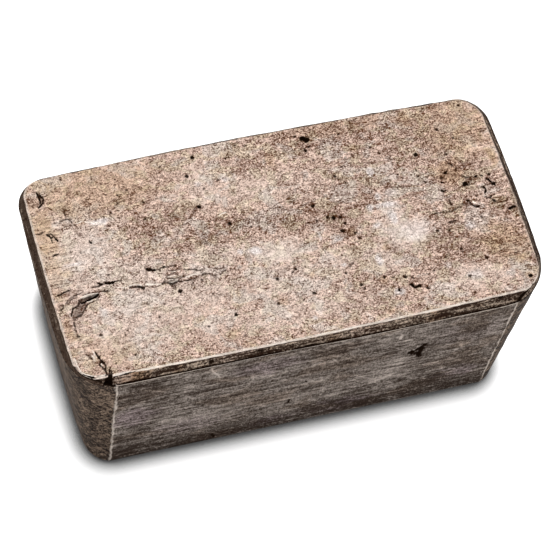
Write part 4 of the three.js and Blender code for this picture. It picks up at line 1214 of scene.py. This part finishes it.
def poured_skin(colours):
    """Silver that set in the open air. Its skin wrinkled as it froze and has tarnished since, so it
    is a dull, crinkled pinkish grey, brown in the hollows and rubbed pale on the crests. The real
    wrinkles are about 0.3 mm apart, and are drawn at 0.7 mm so that they show."""
    material, tree = new_material("poured_silver_skin")
    fields = grown(tree, {
        "grit": ((0.4, 0.38, 0.4), 2, 0.7, 0.0),
        "wrinkle": ((0.75, 0.6, 0.7), 3, 0.65, 1.0),
        "worm": ((1.7, 1.2, 1.4), 2, 0.55, 0.8),
        "pit": ((0.6, 0.5, 0.6), 1, 0.5, 0.3),
        "pock": ((1.3, 1.0, 1.2), 1, 0.5, 0.6),
        "lump": ((2.2, 1.7, 2), 3, 0.6, 0.6),
        "patch": ((6, 4.5, 5), 2, 0.5, 0.6),
        "cream": ((3.6, 2.8, 4), 1, 0.5, 0.6),
        "stroke": ((11, 0.5, 4), 3, 0.6, 0.0),
    })
    layers = layer_masks(tree, *TINTS, "dirt_and_shade", "wear_and_highlight", "rim_distance", "rubbed")
    # The rim: rubbed metal with a painted highlight along it
    rim = ragged(tree, layers["rim_distance"], fields["grit"], 0.3, 0.62, 0.38)
    rim = product(tree, rim, layers["rubbed"])
    soot_and_shade = ragged(tree, layers["dirt_and_shade"], fields["wrinkle"], 0.6, 0.8, 1.45)
    # Gleam on the ridges: rubbed metal with a painted highlight
    gleam = ragged(tree, layers["wear_and_highlight"], fields["wrinkle"], 0.6, 0.7, 1.05)
    streaks = product(tree, layers["scrape"], summed(tree, -0.5, ((fields["stroke"], 1.0),)))
    vigour = summed(tree, 1.16, ((layers["calm"], -0.4),))
    crest = product(tree, vein(tree, fields["worm"], 0.5, 0.032), vigour)
    trough = product(tree, vein(tree, fields["worm"], 0.55, 0.03), vigour)
    pits = rise(tree, fields["pit"], 0.38, 0.3)
    pocks = rise(tree, fields["pock"], 0.33, 0.27)
    metal = laid_over(tree, opaque(colours.skin_pink), (
        (opaque(colours.skin_cream), product(tree, rise(tree, fields["cream"], 0.5, 0.6), 0.5)),
        (opaque(colours.skin_lilac), product(tree, rise(tree, fields["patch"], 0.53, 0.62), 0.6)),
        (opaque(colours.skin_lilac), product(tree, layers["pale"], 0.6)),
        (opaque(colours.ochre), product(tree, layers["ochre"], 0.6)),
        (opaque(colours.bare_silver), layers["silver"]),
    ))
    grain = (
        (fields["grit"], -2.7), (fields["wrinkle"], -2.3), (fields["lump"], -1.1), (fields["patch"], -0.4),
    )
    stains = (
        (layers["shade"], 0.36), (layers["pale"], -0.2), (layers["calm"], -0.1), (layers["silver"], -0.3),
        (streaks, -2.0), (crest, -0.26), (trough, 0.28), (pits, 0.3), (pocks, 0.35), (layers["dirt_and_shade"], 0.35),
    )
    colour = tarnished(tree, metal, colours.skin_tarnish, 0.42, grain, stains, vigour, "LINEAR")
    colour = laid_over(tree, colour, (
        (opaque(colours.worn_edge_highlight), gleam), (opaque(colours.worn_edge_highlight), rim), (opaque(colours.soot_and_shade), soot_and_shade)))
    roughness = laid_over(tree, 0.6, ((0.45, layers["silver"]), (0.45, rim), (0.95, soot_and_shade)))
    metal_surface(tree, colour, roughness, 0.7, (
        (fields["wrinkle"], 0.3), (fields["lump"], 0.3), (fields["grit"], 0.12), (crest, 0.06),
        (trough, -0.06)))
    return material


def layered_lip(colours):
    """The lip froze in thin layers as the mould filled, and dirt has settled between them. It is
    brown with rubbed pale layers and a few orange specks, black in the seam at its foot, and of a
    dull even brown at the bar's ends. Its brown is about as dark as the lip looks, so beside its
    tarnish it paints in part the lip's shade, and the black at its foot is painted shade in the
    crease there as well as dirt. Its rim has a painted highlight. The real layers are about 0.2 mm
    thick, and are drawn at 0.75 mm so that they show."""
    material, tree = new_material("layered_silver_lip")
    fields = grown(tree, {
        "grain": ((0.42, 0.42, 0.6), 2, 0.7, 0.0),
        "ridge": ((0.9, 0.9, 0.9), 3, 0.65, 0.5),
        "sheet": ((9, 9, 0.75), 4, 0.65, 0.2),
        "rust": ((3, 3, 1.6), 3, 0.6, 0.4),
    })
    layers = layer_masks(tree, "dirt_and_shade", "ochre", "silver", "dulled", "rim_distance", "rubbed")
    # The rim: rubbed metal with a painted highlight along it
    rim = ragged(tree, layers["rim_distance"], fields["grain"], 0.3, -0.1, 0.05)
    rim = product(tree, rim, layers["rubbed"])
    # Soot here also paints the shade at the lip's foot
    soot_and_shade = ragged(tree, layers["dirt_and_shade"], fields["ridge"], 0.8, 0.65, 1.2)
    matt = rise(tree, fields["grain"], 0.36, 0.56)
    metal = laid_over(tree, opaque(colours.lip_brown), (
        (opaque(colours.skin_pink), product(tree, layers["silver"], 0.7)),
        (opaque(colours.lip_orange), product(tree, layers["ochre"], 0.7)),
        (opaque(colours.lip_orange), product(tree, rise(tree, fields["rust"], 0.56, 0.64), 0.3)),
    ))
    grain = ((fields["grain"], -2.0), (fields["ridge"], -2.0), (fields["sheet"], -3.2))
    # The lip's high tarnish share paints in part its shade
    colour = tarnished(tree, metal, colours.lip_tarnish_and_shade, 0.83, grain, ((layers["silver"], -0.2),))
    colour = laid_over(tree, colour, (
        (opaque(colours.lip_dull), product(tree, layers["dulled"], matt)),
        (opaque(colours.worn_edge_highlight), rim), (opaque(colours.soot_and_shade), soot_and_shade)))
    roughness = laid_over(tree, 0.65, ((0.95, soot_and_shade),))
    metal_surface(tree, colour, roughness, 0.6, ((fields["sheet"], 0.6), (fields["ridge"], 0.3)))
    return material


def dressed_wall(colours):
    """The near wall was rubbed flat along the bar. Its strokes are fine lengthwise lines, dulled
    since to a grey brown with a little violet, darker at the foot, with a few light scratches over
    them. Its colours are about as dark as the wall looks, so beside its tarnish they paint in part
    the shade on the wall. The real strokes are about 0.1 mm wide, and are drawn at 0.8 mm so that
    they show."""
    material, tree = new_material("dressed_silver_wall")
    fields = grown(tree, {
        "grain": ((0.42, 0.42, 0.7), 2, 0.7, 0.0),
        "mottle": ((1.2, 1.2, 1.3), 3, 0.7, 0.5),
        "stroke": ((5, 5, 0.8), 3, 0.7, 0.0),
        "streak": ((16, 16, 1.4), 4, 0.6, 0.1, 0, 1.0),
        "haze": ((18, 18, 9), 3, 0.55, 0.5),
        "scratch": ((9, 9, 0.6), 2, 0.5, 0.6, 0, 38),
        "line": ((26, 26, 1.3), 2, 0.5, 0.1, 0, 0.5),
        "hair": ((4.5, 4.5, 3.5), 2, 0.5, 1.4),
        "waver": ((2.2, 2.2, 2.2), 2, 0.6, 0.0),
    })
    layers = layer_masks(tree, *WALL_TINTS, "dirt_and_shade", "wear_and_highlight", "arris_distance")
    place = node(tree, "ShaderNodeTexCoord").outputs["Object"]
    up = node(tree, "ShaderNodeSeparateXYZ", {"Vector": place}).outputs["Z"]
    foot = rise(tree, up, 11.5 * MM, 4 * MM)
    arris = rubbed_arris(tree, layers["arris_distance"], fields["waver"])
    soot_and_shade = ragged(tree, layers["dirt_and_shade"], fields["mottle"], 0.8, 0.65, 1.2)
    metal = laid_over(tree, opaque(colours.wall_grey), (
        (opaque(colours.wall_violet), product(tree, layers["violet"], 0.8)),
        (opaque(colours.wall_brown), rise(tree, fields["haze"], 0.5, 0.38)),
    ))
    lines = (
        (vein(tree, fields["line"], 0.5, 0.03), -0.12), (vein(tree, fields["line"], 0.57, 0.035), 0.12),
        (vein(tree, fields["hair"], 0.46, 0.014), -0.13), (vein(tree, fields["hair"], 0.55, 0.014), -0.1),
        (rise(tree, fields["scratch"], 0.58, 0.68), -0.14),
    )
    grain = (
        (fields["grain"], -1.0), (fields["mottle"], -0.65), (fields["stroke"], -0.7),
        (fields["streak"], -0.7), (fields["haze"], -0.3),
    )
    # The shine layer lightens the bright scratches, and paints a highlight along the worn upper edge
    stains = (
        (layers["haze"], -0.12), (layers["gloom"], 0.09), (foot, 0.16), (layers["wear_and_highlight"], -0.45),
        (layers["dirt_and_shade"], 0.25), *lines,
    )
    # The high tarnish share paints in part the wall's shade
    colour = tarnished(tree, metal, colours.wall_tarnish_and_shade, 0.74, grain, stains)
    colour = laid_over(tree, colour, ((opaque(colours.worn_edge_highlight), arris), (opaque(colours.soot_and_shade), soot_and_shade)))
    roughness = laid_over(tree, 0.65, ((0.95, soot_and_shade),))
    metal_surface(tree, colour, roughness, 0.6, (
        (fields["stroke"], 0.1), (fields["mottle"], 0.1), (fields["grain"], 0.04)))
    return material


def cast_wall(colours):
    """The face that the mould gave: a fine sandy surface in dark brown tarnish, crossed by thin
    slanting scratches. Its colours are about as dark as these walls look, so beside their tarnish
    they paint in part their shade. The real scratches are hair thin, and are drawn at 0.6 mm so
    that they show."""
    material, tree = new_material("mould_cast_silver")
    fields = grown(tree, {
        "grain": ((0.42, 0.42, 0.6), 2, 0.7, 0.0),
        "sand": ((1.1, 1.1, 1.1), 3, 0.7, 0.5),
        "falling": ((5, 5, 0.6), 3, 0.6, 0.3, 28, 28),
        "rising": ((5, 5, 0.6), 3, 0.6, 0.3, -34, -34),
        "haze": ((9, 9, 9), 3, 0.6, 0.5),
        "hair": ((4, 4, 4), 2, 0.5, 1.4),
        "waver": ((2.2, 2.2, 2.2), 2, 0.6, 0.0),
    })
    layers = layer_masks(tree, "dirt_and_shade", "dulled", "arris_distance")
    arris = rubbed_arris(tree, layers["arris_distance"], fields["waver"])
    grain = (
        (fields["grain"], -1.2), (fields["sand"], -1.1), (fields["falling"], -1.0),
        (fields["rising"], -0.9), (fields["haze"], -0.5),
    )
    # The right end's cast wall gets a little painted shade through the dulled layer
    stains = (
        (layers["dulled"], 0.05), (vein(tree, fields["hair"], 0.46, 0.014), -0.25),
        (vein(tree, fields["hair"], 0.55, 0.014), -0.2),
    )
    metal = opaque(colours.cast_brown)
    # The high tarnish share paints in part the shade of these walls
    colour = tarnished(tree, metal, colours.cast_tarnish_and_shade, 0.92, grain, stains, growth="LINEAR")
    colour = laid_over(tree, colour, (
        (opaque(colours.worn_edge_highlight), arris), (opaque(colours.soot_and_shade), layers["dirt_and_shade"])))
    metal_surface(tree, colour, 0.65, 0.55, (
        (fields["sand"], 0.2), (fields["falling"], 0.1), (fields["rising"], 0.1)))
    return material


def white_floor(colours):
    """A seamless white floor that keeps the bar's shadow. Where the bar stands close over it, the
    shadow in the corner between them is drawn in full. The rest is lifted to white by a little
    light of its own, which only the camera and reflections see."""
    material, tree = new_material("studio_floor")
    corner = node(tree, "ShaderNodeAmbientOcclusion", {"Distance": CORNER_SHADOW * MM}, samples=8)
    open_share = node(tree, "ShaderNodeMapRange", {
        "Value": corner.outputs["AO"], "From Min": 0.45, "To Min": 0.06})
    rays = node(tree, "ShaderNodeLightPath").outputs
    seen = node(tree, "ShaderNodeMath", {0: rays["Is Camera Ray"], 1: rays["Is Glossy Ray"]},
                operation="MAXIMUM")
    shadow = laid_over(tree, 1.0, ((open_share, seen),))
    colour = laid_over(tree, opaque((0, 0, 0)), ((opaque(colours.floor_white), shadow),))
    dull = node(tree, "ShaderNodeBsdfDiffuse", {"Color": colour})
    strength = product(tree, seen, product(tree, shadow, FLOOR_LIFT))
    lift = node(tree, "ShaderNodeEmission", {"Color": WHITE, "Strength": strength})
    both = node(tree, "ShaderNodeAddShader", {0: dull, 1: lift})
    node(tree, "ShaderNodeOutputMaterial", {"Surface": both})
    return material


class CastSilverBar(bpy.types.Operator):
    """Build the bar with its skin, lip, dressed wall, flaws and finishes"""
    bl_idname = "ingot.cast_silver_bar"
    bl_label = "Cast silver bar"

    def execute(self, context):
        form = BarForm(context.scene.bar_sizes)
        points, faces, finishes = sound_bar(form)
        mesh = bpy.data.meshes.new("cast_silver_bar")
        mesh.from_pydata(points.tolist(), [], faces)
        mesh.polygons.foreach_set("material_index", finishes)
        finer_near_marks(mesh, form)
        mesh.polygons.foreach_set("use_smooth", [True] * len(mesh.polygons))
        age_bar(mesh, form)
        colours = context.scene.bar_colours
        for finish in (poured_skin, layered_lip, dressed_wall, cast_wall):
            mesh.materials.append(finish(colours))
        bar = bpy.data.objects.new("cast_silver_bar", mesh)
        context.scene.collection.objects.link(bar)
        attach(bar, "root")
        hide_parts("silver_bar")
        return {"FINISHED"}


def soft_lamp(name, direction, power):
    """A large soft lamp that faces the bar from a direction."""
    light = bpy.data.lights.new(name, "AREA")
    light.shape, light.size, light.energy = "SQUARE", LAMP_SIZE, power
    lamp = bpy.data.objects.new(name, light)
    away = Vector(direction).normalized()
    lamp.location = CAMERA_AIM + away * LAMP_DISTANCE
    lamp.rotation_mode = "QUATERNION"
    lamp.rotation_quaternion = away.to_track_quat("Z", "Y")
    bpy.context.scene.collection.objects.link(lamp)


class SetStudio(bpy.types.Operator):
    """Set up the floor, the light and the camera"""
    bl_idname = "ingot.set_studio"
    bl_label = "Studio"

    def execute(self, context):
        scene = context.scene
        scene.view_settings.view_transform = "Standard"
        mesh = bpy.data.meshes.new("studio_floor")
        corners = [(x * FLOOR_HALF, y * FLOOR_HALF, -FLOOR_DROP)
                   for x, y in ((-1, -1), (1, -1), (1, 1), (-1, 1))]
        mesh.from_pydata(corners, [], [(0, 1, 2, 3)])
        mesh.materials.append(white_floor(scene.bar_colours))
        floor = bpy.data.objects.new("studio_floor", mesh)
        scene.collection.objects.link(floor)

        scene.world = bpy.data.worlds.new("studio")
        scene.world.use_nodes = True
        background = scene.world.node_tree.nodes["Background"]
        background.inputs["Color"].default_value = WHITE
        background.inputs["Strength"].default_value = WORLD_LIGHT
        soft_lamp("overhead_lamp", (0.25, 0.5, 1.0), 11.0)
        soft_lamp("front_lamp", (-0.5, -1.0, 0.9), 6.0)

        camera = bpy.data.objects.new("camera", bpy.data.cameras.new("camera"))
        camera.data.lens, camera.data.sensor_width = CAMERA_LENS, CAMERA_SENSOR
        camera.data.clip_start, camera.data.clip_end = 0.01, 20.0
        level = math.cos(CAMERA_ELEVATION)
        back = Vector((math.sin(CAMERA_AZIMUTH) * level, -math.cos(CAMERA_AZIMUTH) * level,
                       math.sin(CAMERA_ELEVATION)))
        camera.location = CAMERA_AIM + back * CAMERA_DISTANCE
        camera.rotation_mode = "QUATERNION"
        camera.rotation_quaternion = back.to_track_quat("Z", "Y") @ Quaternion((0, 0, 1), CAMERA_ROLL)
        scene.collection.objects.link(camera)
        scene.camera = camera
        return {"FINISHED"}


class BarPanel(bpy.types.Panel):
    """The bar's sizes, colours and steps"""
    bl_idname = "VIEW3D_PT_silver_bar"
    bl_label = "Silver bar"
    bl_space_type = "VIEW_3D"
    bl_region_type = "UI"
    bl_category = "Silver bar"

    def draw(self, context):
        for group in (context.scene.bar_sizes, context.scene.bar_colours):
            box = self.layout.box()
            for name in group.__annotations__:
                box.prop(group, name)
        for operator in (CastSilverBar, SetStudio):
            self.layout.operator(operator.bl_idname)


CLASSES = (BarSizes, BarColours, CastSilverBar, SetStudio, BarPanel)


def register():
    """Registers the classes and gives the scene their properties."""
    for cls in CLASSES:
        bpy.utils.register_class(cls)
    bpy.types.Scene.bar_sizes = PointerProperty(type=BarSizes)
    bpy.types.Scene.bar_colours = PointerProperty(type=BarColours)


def unregister():
    """Takes away what register added."""
    del bpy.types.Scene.bar_colours
    del bpy.types.Scene.bar_sizes
    for cls in reversed(CLASSES):
        bpy.utils.unregister_class(cls)


def main():
    """Registers the add-on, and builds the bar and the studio."""
    register()
    bpy.ops.ingot.cast_silver_bar()
    bpy.ops.ingot.set_studio()


if __name__ == "__main__":
    main()
